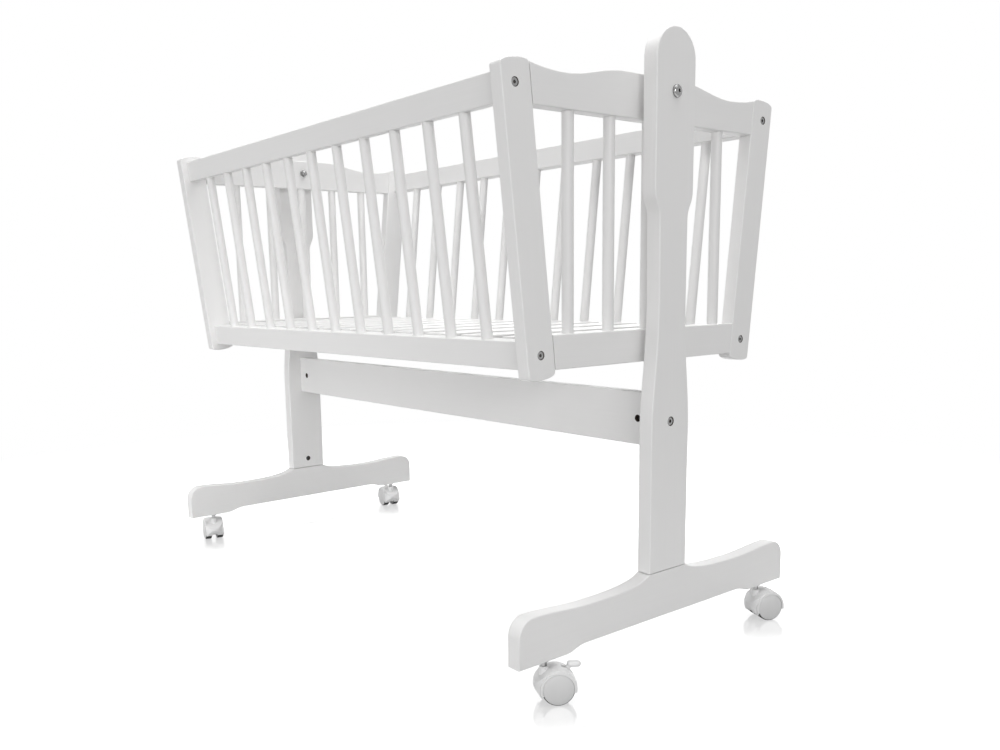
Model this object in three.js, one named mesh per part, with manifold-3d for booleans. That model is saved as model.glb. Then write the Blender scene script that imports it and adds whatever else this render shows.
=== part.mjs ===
// A swinging cradle of white-painted timber on a rolling stand.
//
// Two shaped uprights, each on a foot with two castors, are tied by one wide
// stretcher.  The basket hangs between them on two pivot bolts and swings about
// the long axis.  Its sides lean outwards, and every panel is filled with round
// dowels glued into drilled sockets.  A slatted base lies between the lower rails.
//
// Frame: millimetres, +Z up, +X along the cradle and +Y across it, with the
// origin on the floor under the middle.  "near" is the +X end, "far" the -X end,
// "left" the -Y side and "right" the +Y side.
import * as THREE from 'three';
import { mergeVertices } from 'three/addons/utils/BufferGeometryUtils.js';
import Module from 'manifold-3d';

const wasm = await Module();
wasm.setup();

// Clearances
const FIT = 0.3;                  // between pieces that are glued, bolted or laid together
const RUN = 0.08;                 // radial, between a shaft and the bore that turns on it

// Boards of the stand
const STAND_HEIGHT = 822;         // floor to the top of the uprights
const STAND_BOARD = 22;           // thickness of the uprights and feet
const UPRIGHT_WIDTH = 74.5;
const WAIST_WIDTH = 52.5;         // of an upright, beside the basket
const SHOULDER_DROP = 214;        // top of the upright down to the middle of its ogee
const SHOULDER_LENGTH = 38;       // of that ogee
const WAIST_DROP = 325;           // top of the upright down to its narrowest place
const FLARE_DROP = 507;           // down to where the flare is full width again
const PIVOT_DROP = 77;            // top of the upright down to the pivot
const FOOT_SPAN = 541;            // over both ends of a foot
const FOOT_SEAT_RISE = 70.5;      // underside of the foot to the upright's seat
const FOOT_END_RISE = 62.5;       // and to the top at its ends
const FOOT_DIP_RISE = 57.5;       // and to the lowest place of its top
const FOOT_DIP_IN = 120;          // from the end of the foot to that place
const FOOT_CORNER = 24;           // radius of the upper end corner
const FOOT_PAD = 80;              // length of the flat over a castor
const FOOT_ARCH_RISE = 7;         // height of the arch between the two pads
const FOOT_OGEE = 36;             // length of the step between pad and arch
const STRETCHER_BOARD = 18;
const STRETCHER_HEIGHT = 72.5;
const STRETCHER_DROP = 30.5;      // lowest corner of the basket down to the stretcher
const STAND_ROUND = 2;            // rounding of the stand's edges

// Basket
const BASKET_LENGTH = 944;        // over the outer faces of the two end panels
const BASKET_BOARD = 20;          // thickness of posts and end rails
const TOP_BOLT_DROP = 10;         // pivot down to the upper corner bolts
const BOLT_RISE = 309;            // lower corner bolts up to the upper ones
const TOP_BOLT_SPAN = 469;        // across the basket, between the upper bolts
const LOW_BOLT_SPAN = 399;        // and between the lower ones
const POST_WIDTH = 44;
const POST_OVER = 28.5;           // top bolt to the top of the post, along it
const POST_UNDER = 30.5;          // lower bolt to the foot of the post
const POST_CROWN = 3;             // rise of the arched end of a post
const POST_CORNER = 5;
const SIDE_RAIL_HEIGHT = 36;
const SIDE_RAIL_THICKNESS = 18;
const SIDE_RAIL_OUT = 2;          // middle of the rail outside the line of the bolts
const HEAD_RAIL_DROP = 31;        // pivot down to the underside of the head rail
const HEAD_CROWN = 55.5;          // height of the head rail at its crown,
const HEAD_DIP = 41.5;            // at the dips on both sides of it
const HEAD_END = 47;              // and where it meets the posts
const HEAD_CROWN_HALF = 50;       // half the length of the level crown
const HEAD_DIP_OUT = 160;         // from the middle to a dip
const END_RAIL_HEIGHT = 43;
const BASKET_ROUND = 1.8;         // rounding of the basket's edges

// Dowels
const DOWEL_DIAMETER = 15;
const SOCKET_DEPTH = 12;
const SIDE_DOWELS = 11;           // in each side, evenly spaced between the posts
const END_DOWELS = 5;             // in each end
const END_DOWEL_PITCH = 72.3;
const DOWEL_FACETS = 14;

// Slatted base
const SLATS = 11;
const SLAT_WIDTH = 55;
const SLAT_THICKNESS = 10;
const SLAT_PROUD = 2;             // top of the slats above the inner edge of the side rail
const SLAT_END_GAP = 4;           // first slat to the end rail
const LEDGER_WIDTH = 16;
const LEDGER_HEIGHT = 20;

// Pivot hardware
const PIVOT_GAP = 14;             // upright to end panel, filled by the spacer
const PIVOT_BOLT_DIAMETER = 8;
const PIVOT_HEAD_DIAMETER = 16;
const PIVOT_HEAD_RISE = 5;
const SPACER_DIAMETER = 24;
const CAP_NUT_DIAMETER = 14;      // across its corners
const CAP_NUT_HEX = 5;            // height of its hexagon
const CAP_NUT_RISE = 11;          // and of the whole nut
const BOLT_IN_NUT = 7;            // length of the bolt inside the nut

// Connector bolts of the frame
const FRAME_BOLT_DIAMETER = 6;
const FRAME_HEAD_DIAMETER = 12;
const FRAME_HEAD_RECESS = 2.5;
const BARREL_NUT_DIAMETER = 10;
const BARREL_NUT_IN = 27;         // from the end of a board to its barrel nut
const BARREL_NUT_DEPTH = 13;
const CORNER_BOLT_DIAMETER = 6.5;
const CORNER_HEAD_DIAMETER = 10;
const CORNER_BOLT_BITE = 38;      // length of the corner bolt inside a side rail

// Castors
const CASTOR_HEIGHT = 55;         // floor to the underside of the foot
const CASTOR_IN = 49.5;           // end of the foot to the stem
const WHEEL_DIAMETER = 42;
const TREAD_WIDTH = 12;           // of one of the two discs
const DISC_GAP = 11;              // between the two discs
const DISC_DOME = 3;              // bulge of a disc's outer face
const AXLE_DIAMETER = 6;
const TRAIL = 15.5;               // stem to axle
const STEM_DIAMETER = 8;
const STEM_IN_FOOT = 30;
const STEM_COLLAR_DIAMETER = 14;
const STEM_COLLAR = 2;
const BOSS_DIAMETER = 11.5;       // round the stem
const BOSS_TOP_GAP = 6.5;         // boss to the stem's collar
const STEM_IN_BOSS = 26;
const HOOD_GAP = 0.8;             // tread to the inside of the hood
const HOOD_WALL = 3.2;            // of the hood over the gap between the discs,
const HOOD_EDGE = 1.4;            // and at its open sides
const HOOD_NOSE = 13.4;           // stem to the front of the hood's nose
const NOSE_ROUND = 2;
const CHIN_BACK = 20.8;           // axle to the lower corner of the nose, forwards
const CHIN_DROP = 11;             // and downwards
const WEB_DROP = 4;               // axle down to the arch between the discs
const WHEEL_FACETS = 24;

// Brake lever
const LEVER_WIDTH = 6.5;          // of its arm, between the discs
const LEVER_THICKNESS = 5;
const LEVER_PIN_DIAMETER = 3;
const LEVER_PIN_OUT = 13;         // axle to the lever's pin
const LEVER_PIN_ANGLE = 42;       // degrees above the trailing side
const LEVER_REACH = 21.5;         // pin to the tip of the tread plate
const LEVER_RISE = 20.5;          // pin up to the top of the plate
const PLATE_THICKNESS = 6;
const PLATE_LENGTH = 17.5;
const PLATE_WIDTH = 12;

// Which way each castor trails, in degrees from +X towards +Y, and which brake
const CASTORS = [
  { name: 'near_left', end: 1, side: -1, heading: 57, brake: true },
  { name: 'near_right', end: 1, side: 1, heading: 67, brake: false },
  { name: 'far_left', end: -1, side: -1, heading: 165, brake: false },
  { name: 'far_right', end: -1, side: 1, heading: 168, brake: true },
];

// Levels and places that follow from the sizes above
const pivotZ = STAND_HEIGHT - PIVOT_DROP;
const seatZ = CASTOR_HEIGHT + FOOT_SEAT_RISE;
const topBoltZ = pivotZ - TOP_BOLT_DROP;
const lowBoltZ = topBoltZ - BOLT_RISE;
const lean = Math.atan2((TOP_BOLT_SPAN - LOW_BOLT_SPAN) / 2, BOLT_RISE);
const boltLine = BOLT_RISE / Math.cos(lean);          // between bolts, along a post
const stretcherTopZ = lowBoltZ - POST_UNDER * Math.cos(lean) - STRETCHER_DROP;
const panelX = BASKET_LENGTH / 2 - BASKET_BOARD / 2;  // middle of an end panel
const innerHalf = BASKET_LENGTH / 2 - BASKET_BOARD;   // between the end panels, half
const uprightInnerX = BASKET_LENGTH / 2 + PIVOT_GAP;
const uprightX = uprightInnerX + STAND_BOARD / 2;
const uprightOuterX = uprightInnerX + STAND_BOARD;
const headRailZ = pivotZ - HEAD_RAIL_DROP;
const railOuter = SIDE_RAIL_OUT + SIDE_RAIL_THICKNESS / 2;
const railInner = SIDE_RAIL_THICKNESS / 2 - SIDE_RAIL_OUT;

// The height of a place on the leaning side panel, "out" across it and "up" along
// its posts, both from the lower bolt.
const leanZ = (out, up) => lowBoltZ - out * Math.sin(lean) + up * Math.cos(lean);
// The half-width at height z of a line that leans with the panel at "out".
const leanYAt = (out, z) => LOW_BOLT_SPAN / 2 + out / Math.cos(lean) + (z - lowBoltZ) * Math.tan(lean);

const endRailZ = leanZ(railOuter, -SIDE_RAIL_HEIGHT / 2);
const slatTopZ = leanZ(-railInner, SIDE_RAIL_HEIGHT / 2) + SLAT_PROUD;

// Materials
const paint = new THREE.MeshStandardMaterial({ color: 0xf4f4f2, roughness: 0.42, metalness: 0 });
const slatPaint = new THREE.MeshStandardMaterial({ color: 0xf6f6f4, roughness: 0.5, metalness: 0 });
const steel = new THREE.MeshStandardMaterial({ color: 0xb9bcc0, roughness: 0.2, metalness: 1 });
const nylon = new THREE.MeshStandardMaterial({ color: 0xe9e9e6, roughness: 0.5, metalness: 0 });
const hoodPlastic = new THREE.MeshStandardMaterial({ color: 0xeeeeec, roughness: 0.35, metalness: 0 });
const wheelPlastic = new THREE.MeshStandardMaterial({ color: 0xe6e6e4, roughness: 0.4, metalness: 0 });

// A closed geometry as a solid, ready to be joined or cut.
function solid(geometry) {
  const bare = geometry.clone();
  bare.deleteAttribute('normal');
  bare.deleteAttribute('uv');
  const merged = mergeVertices(bare, 1e-4);
  return new wasm.Manifold(new wasm.Mesh({
    numProp: 3,
    vertProperties: new Float32Array(merged.attributes.position.array),
    triVerts: new Uint32Array(merged.index.array),
  }));
}

// The solid back as a geometry.
function shell(body) {
  const mesh = body.getMesh();
  const geometry = new THREE.BufferGeometry();
  geometry.setAttribute('position', new THREE.BufferAttribute(mesh.vertProperties, 3));
  geometry.setIndex(new THREE.BufferAttribute(mesh.triVerts, 1));
  geometry.computeVertexNormals();
  return geometry;
}

const join = (first, ...others) => others.reduce((body, other) => body.add(solid(other)), solid(first));
const cut = (body, ...tools) => tools.reduce((rest, tool) => rest.subtract(solid(tool)), body);

// A board whose outline is drawn in the YZ plane, its thickness centred on x.
const ALONG_X = new THREE.Matrix4().makeBasis(
  new THREE.Vector3(0, 1, 0), new THREE.Vector3(0, 0, 1), new THREE.Vector3(1, 0, 0));
// A profile drawn in the XZ plane and extruded across Y, centred on y = 0.
const ALONG_Y = new THREE.Matrix4().makeBasis(
  new THREE.Vector3(1, 0, 0), new THREE.Vector3(0, 0, 1), new THREE.Vector3(0, -1, 0));

function slab(outline, thickness, round, basis, curveSegments = 8) {
  const geometry = new THREE.ExtrudeGeometry(outline, {
    depth: thickness - 2 * round,
    bevelEnabled: round > 0,
    bevelThickness: round,
    bevelSize: round,
    bevelOffset: -round,
    bevelSegments: 1,
    curveSegments,
  });
  geometry.translate(0, 0, round - thickness / 2);
  return geometry.applyMatrix4(basis);
}

// A straight bar of the given section between two places along X, Y or Z.
function bar(sizeX, sizeY, sizeZ, round) {
  const outline = new THREE.Shape();
  outline.moveTo(-sizeY / 2, -sizeZ / 2).lineTo(sizeY / 2, -sizeZ / 2);
  outline.lineTo(sizeY / 2, sizeZ / 2).lineTo(-sizeY / 2, sizeZ / 2);
  return slab(softened(outline, round), sizeX, 0, ALONG_X);
}

// The outline with each corner cut back by a small rounding.
function softened(outline, round) {
  const corners = outline.getPoints();
  const soft = new THREE.Shape();
  corners.forEach((corner, i) => {
    const before = corners[(i + corners.length - 1) % corners.length];
    const after = corners[(i + 1) % corners.length];
    const start = corner.clone().lerp(before, round / corner.distanceTo(before));
    const end = corner.clone().lerp(after, round / corner.distanceTo(after));
    if (i === 0) soft.moveTo(start.x, start.y);
    else soft.lineTo(start.x, start.y);
    soft.lineTo(end.x, end.y);
  });
  return soft;
}

// A round rod or drill from one height to another, along z.
function rodZ(diameter, z0, z1, facets, x = 0, y = 0) {
  const geometry = new THREE.CylinderGeometry(diameter / 2, diameter / 2, z1 - z0, facets);
  return geometry.rotateX(Math.PI / 2).translate(x, y, (z0 + z1) / 2);
}
const rodX = (diameter, x0, x1, facets, y, z) =>
  rodZ(diameter, x0, x1, facets).rotateY(Math.PI / 2).translate(0, y, z);
const rodY = (diameter, y0, y1, facets, x, z) =>
  rodZ(diameter, y0, y1, facets).rotateX(-Math.PI / 2).translate(x, 0, z);

// The diameter over the corners of a faceted bore whose flats clear a round shaft.
const boreOver = (shaft, clearance, facets) => (shaft + 2 * clearance) / Math.cos(Math.PI / facets);

// An outline that is the same on both sides of z: the right half is drawn from
// the bottom middle to the top middle, and its mirror image closes it.
function mirroredOutline(drawRightHalf, divisions = 9) {
  const right = new THREE.Path();
  drawRightHalf(right);
  const points = right.getPoints(divisions);
  const left = points.filter((p) => p.x > 1e-6).map((p) => new THREE.Vector2(-p.x, p.y)).reverse();
  return new THREE.Shape([...points, ...left]);
}

// Stand

// An upright: a round head, an ogee in to the waist beside the basket, and a
// long flare out again above the stretcher.
function uprightGeometry(end) {
  const half = UPRIGHT_WIDTH / 2;
  const waist = WAIST_WIDTH / 2;
  const flareZ = STAND_HEIGHT - FLARE_DROP;
  const waistZ = STAND_HEIGHT - WAIST_DROP;
  const shoulderZ = STAND_HEIGHT - SHOULDER_DROP;
  const neck = waist + (half - waist) * 0.12;         // where the waist meets the ogee
  const outline = mirroredOutline((p) => {
    p.moveTo(0, seatZ + FIT).lineTo(half, seatZ + FIT).lineTo(half, flareZ);
    const reach = waistZ - flareZ;
    p.bezierCurveTo(half, flareZ + reach * 0.34, waist, flareZ + reach * 0.5, waist, waistZ);
    p.lineTo(neck, shoulderZ - SHOULDER_LENGTH / 2);
    p.bezierCurveTo(neck, shoulderZ, half, shoulderZ, half, shoulderZ + SHOULDER_LENGTH / 2);
    p.lineTo(half, STAND_HEIGHT - half);
    p.absarc(0, STAND_HEIGHT - half, half, 0, Math.PI / 2, false);
  });
  const board = solid(slab(outline, STAND_BOARD, STAND_ROUND, ALONG_X).translate(end * uprightX, 0, 0));
  const outer = end * uprightOuterX;
  const inner = end * uprightInnerX;
  const boltZ = stretcherTopZ - STRETCHER_HEIGHT / 2;
  const nutZ = seatZ + BARREL_NUT_IN - STAND_BOARD / 3;
  return shell(cut(board,
    rodX(boreOver(PIVOT_BOLT_DIAMETER, FIT, 16), inner - 50, inner + 50, 16, 0, pivotZ),
    rodX(FRAME_BOLT_DIAMETER + 2 * FIT, inner - 50, inner + 50, 12, 0, boltZ),
    rodX(FRAME_HEAD_DIAMETER + 2 * FIT, outer - FRAME_HEAD_RECESS, outer + FRAME_HEAD_RECESS, 16, 0, boltZ),
    rodZ(FRAME_BOLT_DIAMETER + 2 * FIT, seatZ - 5, nutZ + BARREL_NUT_DIAMETER, 12, end * uprightX, 0),
    rodX(BARREL_NUT_DIAMETER, inner - BARREL_NUT_DEPTH, inner + BARREL_NUT_DEPTH, 16, 0, nutZ)));
}

// A foot: rounded ends, a top that sweeps up to the seat of the upright, and an
// arch between the two flat pads that the castors are let into.
function footGeometry(end) {
  const half = FOOT_SPAN / 2;
  const base = CASTOR_HEIGHT;
  const seat = UPRIGHT_WIDTH / 2 + 1;
  const padIn = half - FOOT_PAD;
  const dip = half - FOOT_DIP_IN;
  const archIn = padIn - FOOT_OGEE;
  const outline = mirroredOutline((p) => {
    p.moveTo(0, base + FOOT_ARCH_RISE).lineTo(archIn, base + FOOT_ARCH_RISE);
    p.bezierCurveTo(archIn + FOOT_OGEE / 2, base + FOOT_ARCH_RISE, padIn - FOOT_OGEE / 3, base, padIn, base);
    p.lineTo(half, base).lineTo(half, base + FOOT_END_RISE - FOOT_CORNER);
    p.absarc(half - FOOT_CORNER, base + FOOT_END_RISE - FOOT_CORNER, FOOT_CORNER, 0, Math.PI / 2, false);
    p.bezierCurveTo(half - FOOT_CORNER - (FOOT_DIP_IN - FOOT_CORNER) / 3, base + FOOT_END_RISE,
      dip + (FOOT_DIP_IN - FOOT_CORNER) / 3, base + FOOT_DIP_RISE, dip, base + FOOT_DIP_RISE);
    p.bezierCurveTo(seat + (dip - seat) * 0.43, base + FOOT_DIP_RISE,
      seat + (dip - seat) * 0.14, base + FOOT_DIP_RISE + 3, seat, seatZ);
    p.lineTo(0, seatZ);
  });
  const board = solid(slab(outline, STAND_BOARD, STAND_ROUND, ALONG_X).translate(end * uprightX, 0, 0));
  const x = end * uprightX;
  const stemY = half - CASTOR_IN;
  const arch = base + FOOT_ARCH_RISE;
  return shell(cut(board,
    rodZ(boreOver(STEM_DIAMETER, FIT, 12), base - 5, base + STEM_IN_FOOT + FIT, 12, x, stemY),
    rodZ(boreOver(STEM_DIAMETER, FIT, 12), base - 5, base + STEM_IN_FOOT + FIT, 12, x, -stemY),
    rodZ(FRAME_BOLT_DIAMETER + 2 * FIT, base - 5, seatZ + 5, 12, x, 0),
    rodZ(FRAME_HEAD_DIAMETER + 2 * FIT, arch - 5, arch + FRAME_HEAD_RECESS, 16, x, 0)));
}

// The stretcher is a plain board between the uprights, with a barrel nut let
// into its left face near each end.
function stretcherGeometry() {
  const length = 2 * (uprightInnerX - FIT);
  const midZ = stretcherTopZ - STRETCHER_HEIGHT / 2;
  const board = solid(bar(length, STRETCHER_BOARD, STRETCHER_HEIGHT, STAND_ROUND).translate(0, 0, midZ));
  const nutX = uprightInnerX - BARREL_NUT_IN;
  const face = -STRETCHER_BOARD / 2;
  return shell(cut(board, ...[-1, 1].flatMap((end) => [
    rodY(BARREL_NUT_DIAMETER, face - 5, face + BARREL_NUT_DEPTH, 16, end * nutX, midZ),
    rodX(FRAME_BOLT_DIAMETER + 2 * FIT, Math.min(end * nutX, end * (nutX + 50)),
      Math.max(end * nutX, end * (nutX + 50)), 12, 0, midZ),
  ])));
}

// Pivots: a round-headed bolt through upright, spacer and head rail, with a
// domed cap nut on its inner end.
const panelInnerX = innerHalf;
const boltEndX = panelInnerX - FIT - BOLT_IN_NUT;

function lathedX(profile, facets) {
  // profile: [radius, x] pairs, turned about the x axis
  const points = profile.map(([r, x]) => new THREE.Vector2(r, x));
  return new THREE.LatheGeometry(points, facets).rotateZ(-Math.PI / 2);
}

function domePoints(radius, rise, x, steps) {
  // the profile of a shallow dome, from its rim to its crown
  return Array.from({ length: steps }, (_, i) => {
    const t = (i + 1) / steps;
    return [radius * Math.cos(t * Math.PI / 2), x + rise * Math.sin(t * Math.PI / 2)];
  });
}

function pivotBoltGeometry() {
  const r = PIVOT_BOLT_DIAMETER / 2;
  const seat = uprightOuterX + FIT;
  const profile = [[0, boltEndX], [r - 0.8, boltEndX], [r, boltEndX + 0.8], [r, seat],
    [PIVOT_HEAD_DIAMETER / 2, seat], [PIVOT_HEAD_DIAMETER / 2, seat + 1],
    ...domePoints(PIVOT_HEAD_DIAMETER / 2, PIVOT_HEAD_RISE - 1, seat + 1, 4)];
  profile[profile.length - 1][0] = 0;
  return lathedX(profile, 24);
}

function pivotSpacerGeometry() {
  const inner = boreOver(PIVOT_BOLT_DIAMETER, FIT, 24) / 2;
  const x0 = uprightInnerX - PIVOT_GAP + FIT;
  const x1 = uprightInnerX - FIT;
  const outer = SPACER_DIAMETER / 2;
  return lathedX([[inner, x0], [outer - 1, x0], [outer, x0 + 1], [outer, x1 - 1], [outer - 1, x1],
    [inner, x1], [inner, x0]], 24);
}

function capNutGeometry() {
  const face = panelInnerX - FIT;
  const hex = new THREE.CylinderGeometry(CAP_NUT_DIAMETER / 2, CAP_NUT_DIAMETER / 2, CAP_NUT_HEX, 6)
    .rotateZ(Math.PI / 2).translate(face - CAP_NUT_HEX / 2, 0, 0);
  const domeRadius = CAP_NUT_DIAMETER * 0.42;
  const dome = domePoints(domeRadius, CAP_NUT_RISE - CAP_NUT_HEX, 0, 4).map(([r, x]) => [r, x]);
  dome[dome.length - 1][0] = 0;
  const cap = lathedX([[0, -1], [domeRadius, -1], [domeRadius, 0], ...dome], 18)
    .rotateZ(Math.PI).translate(face - CAP_NUT_HEX, 0, 0);
  const bore = rodX(boreOver(PIVOT_BOLT_DIAMETER, FIT, 18), boltEndX - FIT, face + 5, 18, 0, 0);
  return shell(cut(join(hex, cap), bore));
}

// Basket: leaning sides
//
// Each side is drawn upright, with x along it, z up its posts and -y outwards,
// from the line between its two lower bolts.  Its group then leans it out.

function postGeometry() {
  const half = POST_WIDTH / 2;
  const top = boltLine + POST_OVER;
  const outline = mirroredOutline((p) => {
    p.moveTo(0, -POST_UNDER);
    p.quadraticCurveTo(half * 0.6, -POST_UNDER, half - POST_CORNER, POST_CROWN * 0.7 - POST_UNDER);
    p.quadraticCurveTo(half, POST_CROWN - POST_UNDER, half, POST_CROWN + POST_CORNER - POST_UNDER);
    p.lineTo(half, top - POST_CROWN - POST_CORNER);
    p.quadraticCurveTo(half, top - POST_CROWN, half - POST_CORNER, top - POST_CROWN * 0.7);
    p.quadraticCurveTo(half * 0.6, top, 0, top);
  }, 4);
  const out = BASKET_BOARD / 2;
  const bore = boreOver(CORNER_BOLT_DIAMETER, FIT, 12);
  const recess = CORNER_HEAD_DIAMETER + 2 * FIT;
  return shell(cut(solid(slab(outline, BASKET_BOARD, BASKET_ROUND, ALONG_X, 4)),
    ...[0, boltLine].flatMap((z) => [
      rodX(bore, -out - 5, out + 5, 12, 0, z),
      rodX(recess, out - FRAME_HEAD_RECESS, out + 5, 12, 0, z)])));
}

// The x positions of the side dowels: even spaces between the posts.
const sideDowelX = Array.from({ length: SIDE_DOWELS },
  (_, i) => innerHalf - (i + 1) * 2 * innerHalf / (SIDE_DOWELS + 1));

function sideRailGeometry(isTop) {
  const mid = isTop ? boltLine : 0;
  const length = 2 * (innerHalf - FIT);
  const rail = solid(bar(length, SIDE_RAIL_THICKNESS, SIDE_RAIL_HEIGHT, BASKET_ROUND)
    .translate(0, -SIDE_RAIL_OUT, mid));
  const mouth = isTop ? mid - SIDE_RAIL_HEIGHT / 2 : mid + SIDE_RAIL_HEIGHT / 2;
  const inward = isTop ? 1 : -1;
  const sockets = sideDowelX.map((x) => {
    const ends = [mouth + inward * SOCKET_DEPTH, mouth - inward * 5];
    return rodZ(DOWEL_DIAMETER + 2 * FIT, Math.min(...ends), Math.max(...ends), DOWEL_FACETS, x, -SIDE_RAIL_OUT);
  });
  const bites = [-1, 1].map((end) => {
    const ends = [end * (innerHalf - CORNER_BOLT_BITE), end * (innerHalf + 5)];
    return rodX(boreOver(CORNER_BOLT_DIAMETER, FIT, 12), Math.min(...ends), Math.max(...ends), 12, 0, mid);
  });
  return shell(cut(rail, ...sockets, ...bites));
}

function sideDowelGeometry(x) {
  const z0 = SIDE_RAIL_HEIGHT / 2 - SOCKET_DEPTH + FIT;
  const z1 = boltLine - SIDE_RAIL_HEIGHT / 2 + SOCKET_DEPTH - FIT;
  return rodZ(DOWEL_DIAMETER, z0, z1, DOWEL_FACETS, x, -SIDE_RAIL_OUT);
}

// Basket: end panels

const endDowelY = Array.from({ length: END_DOWELS }, (_, i) => (i - (END_DOWELS - 1) / 2) * END_DOWEL_PITCH);
const postInner = -POST_WIDTH / 2 - FIT;              // "out" of the face that a rail butts on
const headJointY = (z) => leanYAt(postInner, z);

// The head rail: level underside, low ends with a shallow dip, and a broad crown
// over the pivot, joined by an ogee.
function headRailGeometry(end) {
  const low = headRailZ;
  const endY = headJointY(low + HEAD_END);
  const outline = mirroredOutline((p) => {
    p.moveTo(0, low).lineTo(headJointY(low), low).lineTo(endY, low + HEAD_END);
    p.quadraticCurveTo((endY + HEAD_DIP_OUT) / 2, low + HEAD_DIP, HEAD_DIP_OUT, low + HEAD_DIP);
    const reach = HEAD_DIP_OUT - HEAD_CROWN_HALF;
    p.bezierCurveTo(HEAD_DIP_OUT - reach * 0.37, low + HEAD_DIP,
      HEAD_CROWN_HALF + reach * 0.42, low + HEAD_CROWN, HEAD_CROWN_HALF, low + HEAD_CROWN);
    p.lineTo(0, low + HEAD_CROWN);
  });
  const board = solid(slab(outline, BASKET_BOARD, BASKET_ROUND, ALONG_X).translate(end * panelX, 0, 0));
  const x = end * panelX;
  return shell(cut(board,
    ...endDowelY.map((y) => rodZ(DOWEL_DIAMETER + 2 * FIT, low - 5, low + SOCKET_DEPTH, DOWEL_FACETS, x, y)),
    rodX(boreOver(PIVOT_BOLT_DIAMETER, RUN, 24), x - 50, x + 50, 24, 0, pivotZ)));
}

// The lower end rail, with the five end dowels glued into it.
function endRailGeometry(end) {
  const low = endRailZ;
  const top = low + END_RAIL_HEIGHT;
  const outline = new THREE.Shape();
  outline.moveTo(-headJointY(low), low).lineTo(headJointY(low), low);
  outline.lineTo(headJointY(top), top).lineTo(-headJointY(top), top);
  const board = slab(outline, BASKET_BOARD, BASKET_ROUND, ALONG_X).translate(end * panelX, 0, 0);
  const dowelTop = headRailZ + SOCKET_DEPTH - FIT;
  const dowels = endDowelY.map((y) => rodZ(
    DOWEL_DIAMETER, top - SOCKET_DEPTH, dowelTop, DOWEL_FACETS, end * panelX, y));
  return shell(join(board, ...dowels));
}

// The slatted base: two ledgers along the side rails with the slats across them.
function slattedBaseGeometry() {
  const underSlats = slatTopZ - SLAT_THICKNESS;
  const wall = -railInner - FIT;                      // "out" of the rail's inner face
  const slat = new THREE.Shape();
  slat.moveTo(-leanYAt(wall, underSlats), underSlats).lineTo(leanYAt(wall, underSlats), underSlats);
  slat.lineTo(leanYAt(wall, underSlats), slatTopZ).lineTo(-leanYAt(wall, underSlats), slatTopZ);
  const spread = innerHalf - SLAT_END_GAP - SLAT_WIDTH / 2;
  const slats = Array.from({ length: SLATS }, (_, i) => slab(slat, SLAT_WIDTH, 0, ALONG_X)
    .translate(spread - i * 2 * spread / (SLATS - 1), 0, 0));
  const ledgers = [-1, 1].map((side) => {
    const foot = underSlats - LEDGER_HEIGHT;
    const section = new THREE.Shape();
    section.moveTo(side * leanYAt(wall, foot), foot);
    section.lineTo(side * leanYAt(wall, underSlats), underSlats + 0.5);
    section.lineTo(side * (leanYAt(wall, foot) - LEDGER_WIDTH), underSlats + 0.5);
    section.lineTo(side * (leanYAt(wall, foot) - LEDGER_WIDTH), foot);
    return slab(section, 2 * (innerHalf - FIT), 0, ALONG_X);
  });
  return shell(join(...ledgers, ...slats));
}

// Castors
//
// Each is drawn with its stem on the z axis and its axle trailing towards +x,
// then turned to its heading.

// The twin discs stand on one of their flats, so the axle is at the flats' height.
const axleZ = WHEEL_DIAMETER / 2 * Math.cos(Math.PI / WHEEL_FACETS);
const hoodInner = WHEEL_DIAMETER / 2 + HOOD_GAP;
const hoodCrown = hoodInner + HOOD_WALL;
const hoodEdge = hoodInner + HOOD_EDGE;
const webHalf = DISC_GAP / 2 - 0.5;
const hoodHalf = DISC_GAP / 2 + TREAD_WIDTH;
const bossTopZ = CASTOR_HEIGHT - STEM_COLLAR - BOSS_TOP_GAP;
const rad = THREE.MathUtils.degToRad;
const pinX = TRAIL + LEVER_PIN_OUT * Math.cos(rad(LEVER_PIN_ANGLE));
const pinZ = axleZ + LEVER_PIN_OUT * Math.sin(rad(LEVER_PIN_ANGLE));

// Two discs with domed faces on one axle, turned as a single profile.
function wheelPairGeometry() {
  const r = WHEEL_DIAMETER / 2;
  const inner = DISC_GAP / 2;
  const outer = inner + TREAD_WIDTH;
  const half = [[AXLE_DIAMETER / 2, inner], [r - 1.5, inner], [r, inner + 1.5], [r, outer - 2],
    [r - 1.2, outer], ...domePoints(r - 1.2, DISC_DOME, outer, 3)];
  half[half.length - 1][0] = 0;
  const other = half.map(([radius, y]) => [radius, -y]).reverse();
  const points = [...other, ...half].map(([radius, y]) => new THREE.Vector2(radius, y));
  return new THREE.LatheGeometry(points, WHEEL_FACETS)
    .rotateY(Math.PI / 2 + Math.PI / WHEEL_FACETS).translate(TRAIL, 0, axleZ);
}

// The stem: a steel pin with a collar that bears on the underside of the foot.
function stemGeometry() {
  const r = STEM_DIAMETER / 2;
  const collar = STEM_COLLAR_DIAMETER / 2;
  const low = bossTopZ - STEM_IN_BOSS + FIT;
  const top = CASTOR_HEIGHT + STEM_IN_FOOT;
  const under = CASTOR_HEIGHT - FIT;
  const points = [[0, low], [r - 1, low], [r, low + 1], [r, under - STEM_COLLAR], [collar, under - STEM_COLLAR],
    [collar, under], [r, under], [r, top - 1], [r - 1, top], [0, top]].map(([x, z]) => new THREE.Vector2(x, z));
  return new THREE.LatheGeometry(points, 12).rotateX(Math.PI / 2);
}

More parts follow.
